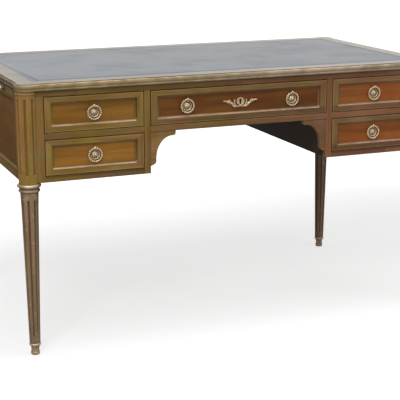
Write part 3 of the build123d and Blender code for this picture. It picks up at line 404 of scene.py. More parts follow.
def border_wood(finishes):
    """Border round the leather: four mitred members, with dirt and painted shade in the quirk, painted shade in
    the hollow and on the end mouldings, and a roll that is worn pale and carries a painted highlight.
    """
    finish = Finish("top_border_wood")
    beyond = (abs(finish.x) - LEATHER_X) - (abs(finish.y) - LEATHER_Y)
    ends = beyond.step(-0.1 * MM, 0.1 * MM)
    along = finish.mix_vectors(ends, finish.along("X"), finish.along("Y"))
    along = finish.vector("ADD", along, finish.join(0.0, ends * 3.7, ends * 1.3))
    light = finish.tone(finishes.top_wood)
    colour, height = timber(finish, along, finish.darken(light, 0.66), light)
    inside = (TOP_X - abs(finish.x)).least(TOP_Y - abs(finish.y)).most(EAR_RADIUS - finish.post_radius())
    up = finish.z - TOP_FACE
    roll = (1 - inside.step(4.4 * MM, 5.0 * MM)) * up.step(-5.0 * MM, -2.8 * MM)
    quirk_dirt_and_shade = inside.band(4.9 * MM, 5.9 * MM, 0.2 * MM) * up.step(-3.8 * MM, -3.2 * MM)
    hollow = up.band(-14.0 * MM, -12.9 * MM, 0.4 * MM)
    moulded = 1 - inside.step(5.5 * MM, 5.9 * MM)
    mitre = 1 - abs(beyond).step(0.0, 0.9 * MM)
    wear = finish.spots(30.0, 4).step(0.35, 0.7)
    side = finish.x.step(-0.5, 0.3)
    edge = finish.mix(side, finishes.moulding, finishes.moulding_right)
    colour = finish.mix(moulded * 0.85, colour, finish.darken(edge, 0.75 + 0.4 * wear))
    # The roll's top is pale from wear and from a painted highlight
    colour = finish.mix(roll * 0.5 * wear, colour, shade("bfa986"))
    # Painted shade on the mouldings of the top's ends, which also lose most of their coat
    shaded_flank = ends * moulded * (1 - (abs(finish.y) - POST_Y).step(-4 * MM, 16 * MM))
    colour = finish.mix(shaded_flank * 0.85, colour, shade("5a4019"))
    # Dark mitre joints, painted shade in the hollow, and dirt with painted shade in the quirk
    colour = finish.mix((mitre * 0.45).most(hollow * 0.15).most(quirk_dirt_and_shade * 0.85), colour, shade("24170c"))
    coat = (0.16 + 0.16 * side - 0.13 * moulded) * (1 - 0.9 * shaded_flank)
    return polish(finish, colour, height, coat=coat)


def drawer_wood(node, finishes, field):
    """Drawer front: a mitred frame round a sunk field of figured veneer, with painted shade in its gaps, its cove
    and its keyhole, and a painted highlight along its edge and on the ledge under the field.
    """
    finish = Finish(f"{node}_wood")
    low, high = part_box(node)
    middle, half = (low + high) / 2, (high - low) / 2
    from_end = half.x - abs(finish.x - middle.x)
    from_edge = half.z - abs(finish.z - middle.z)
    inward = (from_end - FRAME_UPRIGHT).least(from_edge - FRAME_CROSS)
    lean = from_edge * (FRAME_UPRIGHT / FRAME_CROSS) - from_end
    upright = lean.step(-0.15 * MM, 0.15 * MM)
    in_field = inward.step(COVE - 0.3 * MM, COVE + 0.3 * MM)
    up = finish.z - low.z
    turned = upright * (1 - in_field)
    along = finish.mix_vectors(turned, finish.along("X"), finish.along("Z"))
    along = finish.vector("ADD", along, finish.join(0.0, turned * 1.9, middle.x * 3 + middle.z * 7))
    dark, light = frame_colours(finish, finishes, right=finishes.frame_olive)
    foot_piece = (1 - up.step(16.0 * MM, 22.0 * MM)) * finish.x.step(-0.35, -0.1) * 0.33
    dark, light = finish.darken(dark, 1 - foot_piece), finish.darken(light, 1 - foot_piece)
    gold = finish.spots(13.0, 2).step(0.45, 0.62)
    field_light = finish.mix(gold * 0.25, field, finish.mix(0.4, field, finishes.olive))
    upper_row = finish.z.step(0.60, 0.64)
    field_light = finish.darken(field_light, 1.05 - 0.15 * upper_row)
    colour, height = timber(
        finish,
        along,
        finish.mix(in_field, dark, finish.darken(field_light, 0.6)),
        finish.mix(in_field, light, finish.darken(field_light, 1.06)),
    )
    worn = from_end.least(from_edge)
    # A pale band just inside the drawer front's edge: partly wear, partly a painted highlight on the rounded edge
    colour = finish.mix(worn.band(1.6 * MM, 3.0 * MM, 0.5 * MM) * 0.25, colour, shade("b09468"))
    lower = 1 - up.step(22.2 * MM, 23.0 * MM)
    between = (from_end - FRAME_UPRIGHT).step(0.0, 2.0 * MM)
    # Painted highlight on the ledges under the fields, patchy
    ledge_highlight = inward.band(0.3 * MM, 3.6 * MM, 0.5 * MM) * lower * between
    highlight_share = finish.spots(25.0, 3).step(0.3, 0.6)
    colour = finish.mix(ledge_highlight * (0.22 + 0.3 * highlight_share), colour, finishes.ledge_highlight)
    # Dark mitre joints; painted shade along the cove's upper and side edges, in the cove's foot and in the gaps
    # round the front
    joint = (1 - abs(lean).step(0.0, 0.6 * MM)) * (1 - inward.step(-0.2 * MM, 0.2 * MM))
    arris = inward.band(0.0, 2.2 * MM, 0.6 * MM) * (1 - lower)
    foot = inward.band(COVE - 0.6 * MM, COVE + 0.5 * MM, 0.4 * MM)
    gap_shade = 1 - worn.step(0.6 * MM, 1.6 * MM)
    joints_and_shade = (joint * 0.4).most(arris * 0.45).most(foot * 0.35).most(gap_shade * 0.8)
    colour = finish.mix(joints_and_shade, colour, shade("260f05"))
    # Painted shade: the wood round the keyhole painted near black, where the hole is dark
    if node.startswith("centre"):
        up = finish.z - KEYHOLE_Z
        keyhole = 1 - ((finish.x * finish.x + up * up) ** 0.5).step(8.6 * MM, 9.2 * MM)
        colour = finish.mix(keyhole * 0.97, colour, shade("0a0503"))
    return polish(finish, colour, height, roughness=0.34, coat=0.3)


def end_frame_wood(finishes):
    """End frame: upright stiles between rails that run from front to back."""
    finish = Finish("end_frame_wood")
    rails = abs(finish.z - PANEL_MIDDLE).step(PANEL_Z - 0.2 * MM, PANEL_Z + 0.2 * MM)
    upright = 1 - rails * (1 - abs(finish.y).step(PANEL_Y, PANEL_Y + 0.4 * MM))
    along = finish.mix_vectors(upright, finish.along("Y"), finish.along("Z"))
    dark, light = frame_colours(finish, finishes, 0.8)
    colour, height = timber(finish, along, dark, light)
    return polish(finish, colour, height, roughness=0.5, coat=0.0, specular=0.08)


def veneer_wood(name, tone, axis, darker=0.7, roughness=0.34, coat=0.3, specular=0.2):
    """Flat veneer with its figure along an axis."""
    finish = Finish(name)
    light = finish.tone(tone)
    along = shifted(finish, finish.along(axis), (1.3, 0.4, 0.1))
    colour, height = timber(finish, along, finish.darken(light, darker), light)
    return polish(finish, colour, height, roughness, coat, specular)


def plain_wood(name, tone, axis, cells=(7.0, 1.0, 9.0)):
    """Unpolished wood of the inner works."""
    finish = Finish(name)
    light = finish.tone(tone)
    along = shifted(finish, finish.along(axis), cells)
    colour, height = timber(finish, along, finish.darken(light, 0.72), light, streak=0.5, pores=0.4)
    grime = finish.spots(5.0, 4).step(0.45, 0.8)
    colour = finish.mix(grime * 0.3, colour, shade("5b452c"))
    finish.set(Base_Color=colour, Roughness=0.62 + 0.2 * (grime - 0.5), Specular_IOR_Level=0.3)
    return finish.relief(height, 0.0002)


# ---------------------------------------------------------------- leather and metal
def leather(name, sizes, finishes, half_x, half_y, middle_x=0.0):
    """Dressed hide with blind-tooled lines round its edge."""
    finish = Finish(name)
    across = abs(finish.x) - abs(middle_x) if middle_x else finish.x
    rim = (half_x - abs(across)).least(half_y - abs(finish.y))
    grain = {"Vector": finish.place, "Scale": 900.0, "Smoothness": 0.6}
    pebble = finish.node("ShaderNodeTexVoronoi", {"feature": "SMOOTH_F1"}, grain)
    crease = finish.spots(260.0, 4, distortion=0.8)
    wear = finish.spots(7.0, 5, roughness=0.6).step(0.42, 0.75)
    colour = finish.mix(wear * 0.35, finish.tone(finishes.leather), shade("343a40"))
    colour = finish.darken(colour, 0.8 + 0.4 * pebble)
    within = rim - sizes.tooling_inset
    lines = within.band(0.0, 1.0 * MM, 0.3 * MM).most(within.band(4.2 * MM, 4.8 * MM, 0.2 * MM))
    edge = 1 - rim.step(2.0 * MM, 6.5 * MM)
    colour = finish.mix((lines * 0.25).most(edge * 0.45), colour, shade("2a2519"))
    finish.set(
        Base_Color=colour,
        Roughness=0.42 + 0.10 * (wear - 0.5) + 0.10 * lines,
        Coat_Weight=0.30 - 0.25 * edge,
        Coat_Roughness=0.30,
        Specular_IOR_Level=0.5,
    )
    return finish.relief(pebble * 0.7 + crease * 0.3, 0.00015)


def brass(name, finishes, hollow=None, roughness=0.38, dull=1.0):
    """Gilt brass, bright where it is rubbed and tarnished in its hollows. hollow gives that mask; for the collars
    it also holds painted shade down the legs' sides.
    """
    finish = Finish(name)
    specks = finish.spots(260.0, 4, roughness=0.65)
    cloud = finish.spots(60.0, 3)
    tarnish = (specks * 0.6 + cloud * 0.4).step(0.48, 0.74) * 0.5
    if hollow:
        tarnish = tarnish.most(hollow(finish) * 0.9)
    colour = finish.darken(finish.mix(tarnish, finishes.brass, finishes.tarnish), dull)
    matt = roughness + 0.2 * tarnish + 0.1 * (specks - 0.5)
    finish.set(Base_Color=colour, Metallic=0.62 - 0.25 * tarnish, Roughness=matt)
    return finish.relief(specks, 0.00006)


def steel(name):
    """Oiled steel with a brushed surface."""
    finish = Finish(name)
    brushed = finish.noise(finish.stretch(finish.place, 60.0, 1500.0), detail=2)
    dark_tone = finish.spots(90.0, 4).step(0.5, 0.75)
    colour = finish.mix(dark_tone * 0.5, shade("8f8d88"), shade("4f463c"))
    matt = 0.38 + 0.25 * dark_tone + 0.1 * (brushed - 0.5)
    finish.set(Base_Color=colour, Metallic=1.0 - 0.3 * dark_tone, Roughness=matt)
    return finish.relief(brushed, 0.00004)


# ---------------------------------------------------------------- shapes
def add_object(name, data):
    """Puts a new object in the scene."""
    obj = bpy.data.objects.new(name, data)
    bpy.context.scene.collection.objects.link(obj)
    return obj


def circle(sides):
    """Equal angles all round."""
    return [2 * math.pi * j / sides for j in range(sides)]


class Shape:
    """Points and faces of one piece, gathered before it becomes an object."""

    def __init__(self):
        self.points, self.faces = [], []

    def grid(self, rows, around=True, caps=False):
        """Joins rows of points into a skin. around closes each row; caps close the first and the last."""
        start, wide = len(self.points), len(rows[0])
        for row in rows:
            self.points += [tuple(point) for point in row]
        for i in range(len(rows) - 1):
            for j in range(wide if around else wide - 1):
                a, b = start + i * wide + j, start + i * wide + (j + 1) % wide
                self.faces.append((a, b, b + wide, a + wide))
        if caps:
            last = start + (len(rows) - 1) * wide
            self.faces.append(tuple(range(start + wide - 1, start - 1, -1)))
            self.faces.append(tuple(range(last, last + wide)))

    def turned(self, profile, place, sides=32):
        """Turned form: profile gives (radius, height), and place turns (across, up, out) into a point."""
        self.grid([[place(r * math.cos(a), r * math.sin(a), h) for a in circle(sides)] for r, h in profile])

    def ball(self, centre, radius, sides=10):
        """Pearl about a point, its radius in metres."""
        cx, cy, cz = centre
        turns = [math.pi * i / (sides // 2 + 1) for i in range(sides // 2 + 2)]
        profile = [(radius * math.sin(t), -radius * math.cos(t)) for t in turns]
        self.turned(profile, lambda u, w, h: (cx + u, cy - h, cz + w), sides)

    def tube(self, path, radii, sides=10):
        """Round bar along a path, with a radius in millimetres at each of its points."""
        path = [Vector(point) for point in path]
        rows, side = [], None
        for i, point in enumerate(path):
            ahead = (path[min(i + 1, len(path) - 1)] - path[max(i - 1, 0)]).normalized()
            if side is None:
                side = ahead.orthogonal().normalized()
            side = (side - ahead * side.dot(ahead)).normalized()
            other = ahead.cross(side)
            radius = radii[i] * MM
            rows.append([point + radius * (math.cos(a) * side + math.sin(a) * other) for a in circle(sides)])
        self.grid(rows, caps=True)

    def block(self, low, high):
        """Square block between two corners."""
        (x0, y0, z0), (x1, y1, z1) = low, high
        self.grid([[(x0, y0, z), (x1, y0, z), (x1, y1, z), (x0, y1, z)] for z in (z0, z1)], caps=True)

    def piece(self, name, material, body, replaces=(), smooth=35):
        """Makes the object, in the row frame, and rides it on its body."""
        mesh = bpy.data.meshes.new(name)
        mesh.from_pydata(self.points, [], self.faces)
        made = bmesh.new()
        made.from_mesh(mesh)
        bmesh.ops.remove_doubles(made, verts=made.verts, dist=1e-6)
        bmesh.ops.recalc_face_normals(made, faces=made.faces)
        for edge in made.edges:
            edge.smooth = not edge.is_manifold or edge.calc_face_angle(0) < math.radians(smooth)
        for face in made.faces:
            face.smooth = True
        made.to_mesh(mesh)
        made.free()
        mesh.materials.append(material)
        obj = add_object(name, mesh)
        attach(obj, body)
        if replaces:
            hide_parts(*replaces)
        return obj


def on_field(x, z, face=FIELD_FACE):
    """Turns millimetres (across, up, out) about a point of a drawer front into a point of the frame."""
    return lambda u, w, h: (x + u * MM, -face - h * MM, z + w * MM)


def round_about(place):
    """The same by (radius, angle from straight up, out)."""
    return lambda r, a, h=0.0: place(r * math.sin(a), r * math.cos(a), h)


def raised(face, low, high):
    """Mask of what lies low in front of a face: 1 below low and 0 above high, in millimetres."""
    return lambda finish: 1 - (-finish.y - face).step(low * MM, high * MM)


def finish_node(node, material):
    """Gives a carried-over node its material."""
    for slot in NODES[node].material_slots:
        slot.material = material


def soften(node, width):
    """Rounds the sharp edges of a straight-edged node slightly, as wear does."""
    weld = NODES[node].modifiers.new("joined", "WELD")
    weld.merge_threshold = 0.00001
    worn = NODES[node].modifiers.new("worn_edges", "BEVEL")
    worn.width = width
    worn.segments = 2
    worn.limit_method = "ANGLE"
    worn.angle_limit = math.radians(50)
    worn.harden_normals = True


class DeskOperator:
    """What every operator of the desk shares."""

    bl_options = {"REGISTER"}

    def execute(self, context):
        self.make(context.scene.desk_sizes, context.scene.desk_finishes)
        return {"FINISHED"}


# ---------------------------------------------------------------- stage
class DESK_OT_stage(DeskOperator, Operator):
    """Floor, studio light and camera"""

    bl_idname = "desk.stage"
    bl_label = "Stage"

    def make(self, sizes, finishes):
        self.camera()
        self.world()
        self.floor()
        self.softbox("overhead", (0.0, -0.9, 3.2), (0, -0.2, 0.5), (3.4, 1.4), 70)
        self.softbox("front_key", (-2.6, -3.9, 4.4), (0, 0, 0.6), (1.7, 1.5), 205)
        self.softbox("front_fill", (2.8, -4.2, 1.8), (0, 0, 0.6), (2.0, 1.6), 25)

    def camera(self):
        """Long lens from the front left, a little above the top."""
        yaw, pitch, roll = math.radians(21.99), math.radians(-14.06), math.radians(-0.12)
        ahead = Vector((math.sin(yaw) * math.cos(pitch), math.cos(yaw) * math.cos(pitch), math.sin(pitch)))
        level = Vector((math.cos(yaw), -math.sin(yaw), 0))
        above = level.cross(ahead)
        right = level * math.cos(roll) + above * math.sin(roll)
        up = right.cross(ahead)
        data = bpy.data.cameras.new("camera")
        data.lens, data.sensor_width = 107.0, 36.0
        data.clip_end = 100
        camera = add_object("camera", data)
        turn = Matrix((right, up, -ahead)).transposed().to_4x4()
        camera.matrix_world = Matrix.Translation((-1.3571, -3.3941, 1.2229)) @ turn
        bpy.context.scene.camera = camera
        settings = bpy.context.scene.view_settings
        settings.view_transform, settings.look = "Standard", "None"
        settings.exposure, settings.gamma = 0.0, 1.0

    def world(self):
        """White behind the desk and above it, dim in front, as in a studio with a lit sweep."""
        world = bpy.data.worlds.new("studio")
        world.use_nodes = True
        bpy.context.scene.world = world
        shader = Shader(world.node_tree)
        direction = shader.node("ShaderNodeTexCoord", output="Generated")
        x, y, z = shader.split(direction)
        behind = y.step(-0.15, 0.5) * (0.25 + 0.75 * x.step(-0.7, -0.2))
        above = z.step(0.25, 0.9)
        glow = (0.09 + 1.05 * behind).most(0.8 * above)
        seen = shader.node("ShaderNodeLightPath", output="Is Camera Ray")
        colour = shader.darken(shader.tone((1.0, 0.995, 0.985)), glow * (1 - seen) + 1.05 * seen)
        lit = shader.node("ShaderNodeBackground", inputs={0: colour, 1: 1.0})
        shader.node("ShaderNodeOutputWorld", inputs={0: lit})

    def floor(self):
        """Pale floor that glows; its glow is painted light, stronger far from the desk and weaker to the right,
        and a share of lit paper keeps a soft shadow.
        """
        mesh = bpy.data.meshes.new("floor")
        reach = 14.0
        corners = [(-reach, -reach, 0), (reach, -reach, 0), (reach, reach, 0), (-reach, reach, 0)]
        mesh.from_pydata(corners, [], [(0, 1, 2, 3)])
        floor = add_object("floor", mesh)
        floor.location.z = -0.2 * MM
        finish = Finish("floor_paper")
        finish.set(Base_Color=(0.86, 0.86, 0.86, 1), Roughness=0.9, Specular_IOR_Level=0.1)
        path = finish.node("ShaderNodeLightPath").socket.node.outputs
        seen = Value(finish, path["Is Camera Ray"])
        mirrored = Value(finish, path["Is Glossy Ray"])
        # Painted light: the floor's glow is stronger far from the desk and weaker to the right
        far = finish.y.step(0.5, 2.0).most((-finish.y).step(0.2, 1.0))
        looked_at = seen * (0.885 + 0.5 * far - 0.06 * finish.x.step(0.1, 1.4))
        strength = looked_at + 0.06 * mirrored + 0.30 * (1 - seen - mirrored)
        colour = finish.darken(finish.tone((1, 1, 1)), strength)
        glow = finish.node("ShaderNodeEmission", inputs={0: colour, 1: 1.0})
        share = 0.5 + 0.45 * mirrored + 0.28 * seen
        paper = Value(finish, finish.surface.outputs[0])
        lit = finish.node("ShaderNodeMixShader", inputs={0: share, 1: paper, 2: glow})
        output = next(n for n in finish.tree.nodes if n.type == "OUTPUT_MATERIAL")
        finish.tree.links.new(lit.socket, output.inputs[0])
        mesh.materials.append(finish.material)

    def softbox(self, name, place, aim, size, power):
        """Large soft area light, aimed at a point."""
        data = bpy.data.lights.new(name, "AREA")
        data.shape, data.size, data.size_y = "RECTANGLE", *size
        data.energy = power
        light = add_object(name, data)
        light.location = place
        light.rotation_euler = (Vector(aim) - Vector(place)).to_track_quat("-Z", "Y").to_euler()
        light.visible_camera = False


# ---------------------------------------------------------------- top
class DESK_OT_top(DeskOperator, Operator):
    """Moulded border, its leather and the core under it"""

    bl_idname = "desk.top"
    bl_label = "Table top"

    def make(self, sizes, finishes):
        finish_node("top_border", border_wood(finishes))
        finish_node("top_core", plain_wood("core_wood", finishes.carcase, "X"))
        finish_node("top_screws", steel("screw_steel"))
        hide = leather("writing_hide", sizes, finishes, LEATHER_X, LEATHER_Y)
        low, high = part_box("writing_leather")
        tooled_hide("tooled_leather", low, high, sizes, hide, "case", ("writing_leather",))


def tooled_hide(name, low, high, sizes, material, body, replaces=()):
    """Sheet of leather glued down flat, with a rolled edge and two tooled lines."""
    inset, depth = sizes.tooling_inset, sizes.tooling_depth
    edge = ((0.0, 0.9), (0.1, 0.3), (0.5, 0.05), (1.2, 0.0))   # millimetres inward, millimetres down
    lines = (
        # millimetres from the tooled line, share of its depth
        *((-0.2, 0.0), (0.2, 1.0), (0.8, 1.0), (1.2, 0.0)),
        *((4.0, 0.0), (4.4, 0.7), (4.8, 0.0), (20, 0.0)),
    )
    steps = [(inward * MM, down * MM) for inward, down in edge]
    steps += [(inset + past * MM, depth * share) for past, share in lines]
    shape = Shape()
    rows = []
    for inward, down in steps:
        z = high.z - down
        x0, x1, y0, y1 = low.x + inward, high.x - inward, low.y + inward, high.y - inward
        rows.append([(x0, y0, z), (x1, y0, z), (x1, y1, z), (x0, y1, z)])
    rows.insert(0, [(x, y, low.z) for x, y, z in rows[0]])
    shape.grid(rows, caps=True)
    return shape.piece(name, material, body, replaces)


# ---------------------------------------------------------------- posts, legs and their brass
class DESK_OT_posts(DeskOperator, Operator):
    """Fluted corner posts and legs"""

    bl_idname = "desk.posts"
    bl_label = "Posts and legs"

    def make(self, sizes, finishes):
        post = post_wood("post_wood", finishes, lambda finish: POST_RADIUS)
        leg = post_wood("leg_wood", finishes, self.leg_radius, 0.6)
        for corner in CORNERS:
            finish_node(f"post_{corner}", post)
            finish_node(f"leg_{corner}", leg)

    def leg_radius(self, finish):
        """Radius of a leg at a height: a straight taper above the sabot, then a short flare under the collar."""
        foot, sabot_top, taper = 0.015, 0.0345, 0.02075
        flare_start, flare = 0.420, 0.0237
        return foot + (finish.z - sabot_top) * taper + (finish.z - flare_start).most(0.0) * flare


class DESK_OT_leg_brass(DeskOperator, Operator):
    """Ring collars and sabots of the legs"""

    bl_idname = "desk.leg_brass"
    bl_label = "Leg brass"

    def make(self, sizes, finishes):
        # Collars: patina in the necks, and painted shade down the legs' sides
        def necks_and_shade(finish):
            return (0.7 - 0.7 * finish.post_radius().step(26.4 * MM, 31.2 * MM)).most(shaded_sides(finish))

        def waist(finish):
            return finish.z.band(9.0 * MM, 12.5 * MM, 1.0 * MM) * 0.5

        finish_node("leg_collars", brass("collar_brass", finishes, necks_and_shade, 0.5, 0.74))
        finish_node("foot_sabots", brass("sabot_brass", finishes, waist, 0.5, 0.8))


# ---------------------------------------------------------------- case
class DESK_OT_case(DeskOperator, Operator):
    """Rails, stiles, end frames, panels and brackets"""

    bl_idname = "desk.case"
    bl_label = "Case"

    def make(self, sizes, finishes):
        olive = finishes.frame_olive
        woods = {
            # The top rail is darker: painted shade under the top's overhang
            "front_top_rail": frame_wood("top_rail_wood", finishes, "X", darker=0.72),
            "front_rails": rail_wood(finishes),
            "front_stiles": frame_wood("stile_wood", finishes, "Z", (3.7, 1.0, 0.1), darker=0.88),
            "back_frame": frame_wood("back_frame_wood", finishes, "X", darker=0.8),
            "kneehole_brackets": frame_wood("bracket_wood", finishes, "X", (2.1, 2.3, 0.1), right=olive),
            "end_frame_left": end_frame_wood(finishes),
            "end_panels": veneer_wood("end_panel_veneer", finishes.end_veneer, "Y", 0.7, 0.5, 0.05, 0.1),
            "back_panels": veneer_wood("back_panel_veneer", finishes.field_brown, "X"),
            # The kneehole's sides take a very dark tone: painted shade
            "kneehole_sides": veneer_wood("kneehole_shade_tone", finishes.dark_tone, "Y", 0.6, 0.5, 0.0),
        }
        woods["end_frame_right"] = woods["end_frame_left"]
        for node, wood in woods.items():
            finish_node(node, wood)
            if node != "end_panels":
                soften(node, sizes.edge_round)


class DESK_OT_inner_works(DeskOperator, Operator):
    """Runners, bottoms and slide guides inside the case"""

    bl_idname = "desk.inner_works"
    bl_label = "Inner works"

    def make(self, sizes, finishes):
        wood = finishes.carcase
        finish_node("drawer_runners", plain_wood("runner_wood", wood, "Y"))
        finish_node("pedestal_bottoms", plain_wood("pedestal_bottom_wood", wood, "X"))
        finish_node("slide_guides", plain_wood("slide_guide_wood", wood, "X", (1.0, 9.0, 40.0)))


class DESK_OT_slides(DeskOperator, Operator):
    """Pull-out slides with their leathers and knobs"""

    bl_idname = "desk.slides"
    bl_label = "Slides"

    def make(self, sizes, finishes):
        def neck(finish):
            return 1 - (abs(finish.x) - SIDE_FACE).step(1.8 * MM, 4.5 * MM)

        board = frame_wood("slide_wood", finishes, "Y", (1.0, 0.1, 0.1), darker=0.9)
        knob = brass("knob_brass", finishes, neck, 0.42, 0.72)
        margin, inner_margin = 0.03, 0.045   # bare wood round a slide's leather, and at its inner end
        for side in ("left", "right"):
            finish_node(f"slide_{side}", board)
            soften(f"slide_{side}", sizes.edge_round)
            finish_node(f"slide_knobs_{side}", knob)
            low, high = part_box(f"slide_{side}")
            first, last = (margin, inner_margin) if side == "left" else (inner_margin, margin)
            low = Vector((low.x + first, low.y + margin, high.z - 0.3 * MM))
            high = Vector((high.x - last, high.y - margin, high.z + 0.4 * MM))
            half_x, middle = (high.x - low.x) / 2, (low.x + high.x) / 2
            hide = leather(f"slide_hide_{side}", sizes, finishes, half_x, high.y, middle)
            tooled_hide(f"slide_leather_{side}", low, high, sizes, hide, f"slide_{side}")


# ---------------------------------------------------------------- drawers
class DESK_OT_drawers(DeskOperator, Operator):
    """Panelled drawer fronts and the dovetailed boxes behind them"""

    bl_idname = "desk.drawers"
    bl_label = "Drawers"

    def make(self, sizes, finishes):
        fields = {"left": finishes.field_gold, "centre": finishes.field_brown, "right": finishes.field_red}
        box_wood = plain_wood("drawer_box_wood", finishes.carcase, "Y", (3.3, 0.1, 8.6))
        bottom_wood = plain_wood("drawer_bottom_wood", finishes.carcase, "X", (0.1, 0.1, 8.6))
        for drawer in DRAWERS:
            field = fields[drawer.split("_")[-1]]
            finish_node(f"{drawer}_drawer_front", drawer_wood(f"{drawer}_drawer_front", finishes, field))
            finish_node(f"{drawer}_drawer_sides", box_wood)
            finish_node(f"{drawer}_drawer_bottom", bottom_wood)
            soften(f"{drawer}_drawer_front", sizes.edge_round)


class DESK_OT_pulls(DeskOperator, Operator):
    """Beaded rings and the rosettes that they hang from"""

    bl_idname = "desk.pulls"
    bl_label = "Ring pulls"

    def make(self, sizes, finishes):
        ring_brass = brass("ring_brass", finishes, raised(RING_PLANE, 0.1, 1.5), 0.42, 1.12)
        plate_brass = brass("rosette_brass", finishes, raised(FIELD_FACE, 1.0, 1.7), 0.55, 0.76)
        for body, (drawer, x, z) in PULLS.items():
            self.ring(sizes, body, x, z, ring_brass)
        for drawer in DRAWERS:
            places = [(x, z) for owner, x, z in PULLS.values() if owner == drawer]
            self.rosettes(sizes, drawer, places, plate_brass)

    def ring(self, sizes, body, x, z, material):
        """Ring with pearls all round, plain where it hangs in its eye."""
        place = round_about(on_field(x, z, RING_PLANE))
        shape = Shape()
        for radius, wire, flat in ((RING_RADIUS, 1.2, 1.0), (RING_RADIUS - 2.0, 0.9, 1.3)):
            shape.grid(
                [
                    [place(radius + wire * math.cos(s), turn, flat * math.sin(s)) for s in circle(10)]
                    for turn in (*circle(96), 2 * math.pi)
                ]
            )
        grip = math.radians(11)
        for i in range(sizes.ring_pearls):
            turn = grip + 2 * (math.pi - grip) * (i + 0.5) / sizes.ring_pearls
            shape.ball(place(RING_RADIUS + 0.7, turn), sizes.pearl_radius, 12)
        sleeve = ((-10, 1.6), (-9, 2.6), (-7, 2.9), (0, 2.9), (7, 2.9), (9, 2.6), (10, 1.6))
        path = [place(RING_RADIUS, math.radians(turn)) for turn, _ in sleeve]
        shape.tube(path, [radius for _, radius in sleeve], 16)
        shape.piece(f"beaded_{body}", material, body, (body,))

    def rosettes(self, sizes, drawer, places, material):
        """Rosettes of one drawer, each with its eye, stud and nut."""
        shape = Shape()
        angles = circle(sizes.rosette_pearls * 4)
        for x, z in places:
            place = on_field(x, z)
            point = round_about(place)
            rows = [[point(r, a, self.rosette_height(r, a, sizes)) for a in angles] for r in ROSETTE_RADII]
            rows += [[point(r, a) for a in angles] for r in (ROSETTE_RADII[-1], 0)]
            shape.grid(rows)
            self.eye(shape, place)
            self.stud(shape, place)
        shape.piece(f"{drawer}_rosettes", material, f"{drawer}_drawer", (f"{drawer}_pull_plates",))

    def rosette_height(self, r, a, sizes):
        """Rise of the rosette's face at a radius and an angle, in millimetres."""
        ground = 0.9
        if r <= KNOB:
            return 6.0 + math.sqrt(KNOB**2 - r**2)
        if r <= DOME:
            petal = abs(math.sin(sizes.rosette_petals * a / 2)) ** 0.6
            swell = math.sin(math.pi * (r - KNOB) / (DOME - KNOB))
            return math.sqrt(11.65**2 - r**2) - 6.0 - 0.9 * (1 - petal) * swell
        if r <= GROOVE:
            return ground
        crest = 2.1 + 0.15 * math.cos(sizes.rosette_pearls * a)
        if r <= CREST:
            return ground + crest * math.sin(math.pi / 2 * (r - GROOVE) / (CREST - GROOVE))
        return ground + crest * math.cos(math.pi / 2 * (r - CREST) / (RIM - CREST))

    def eye(self, shape, place):
        """Eye that the ring hangs in, on a short scrolled neck."""
        section = (*circle(12), 2 * math.pi)
        profile = [(4.3 + 0.65 * math.cos(s), 1.95 * math.sin(s)) for s in section]
        rise = (RING_PLANE - FIELD_FACE) / MM

        def upright(u, w, h):
            return place(h, RING_RADIUS + w, rise + u)

        shape.turned(profile, upright, 28)
        neck = [place(0, w, h) for w, h in ((11.0, 1.6), (12.4, 2.4), (13.6, 2.0), (15.2, 1.6))]
        shape.tube(neck, (1.2, 1.7, 1.7, 1.3), 12)

    def stud(self, shape, place):
        """Threaded stud through the drawer front, with its nut behind."""
        shape.turned([(0, 0.2), (2, 0.2), (2, -20), (0, -20)], place, 16)
        shape.block(place(-4.5, -4.5, -13), place(4.5, 4.5, -16))


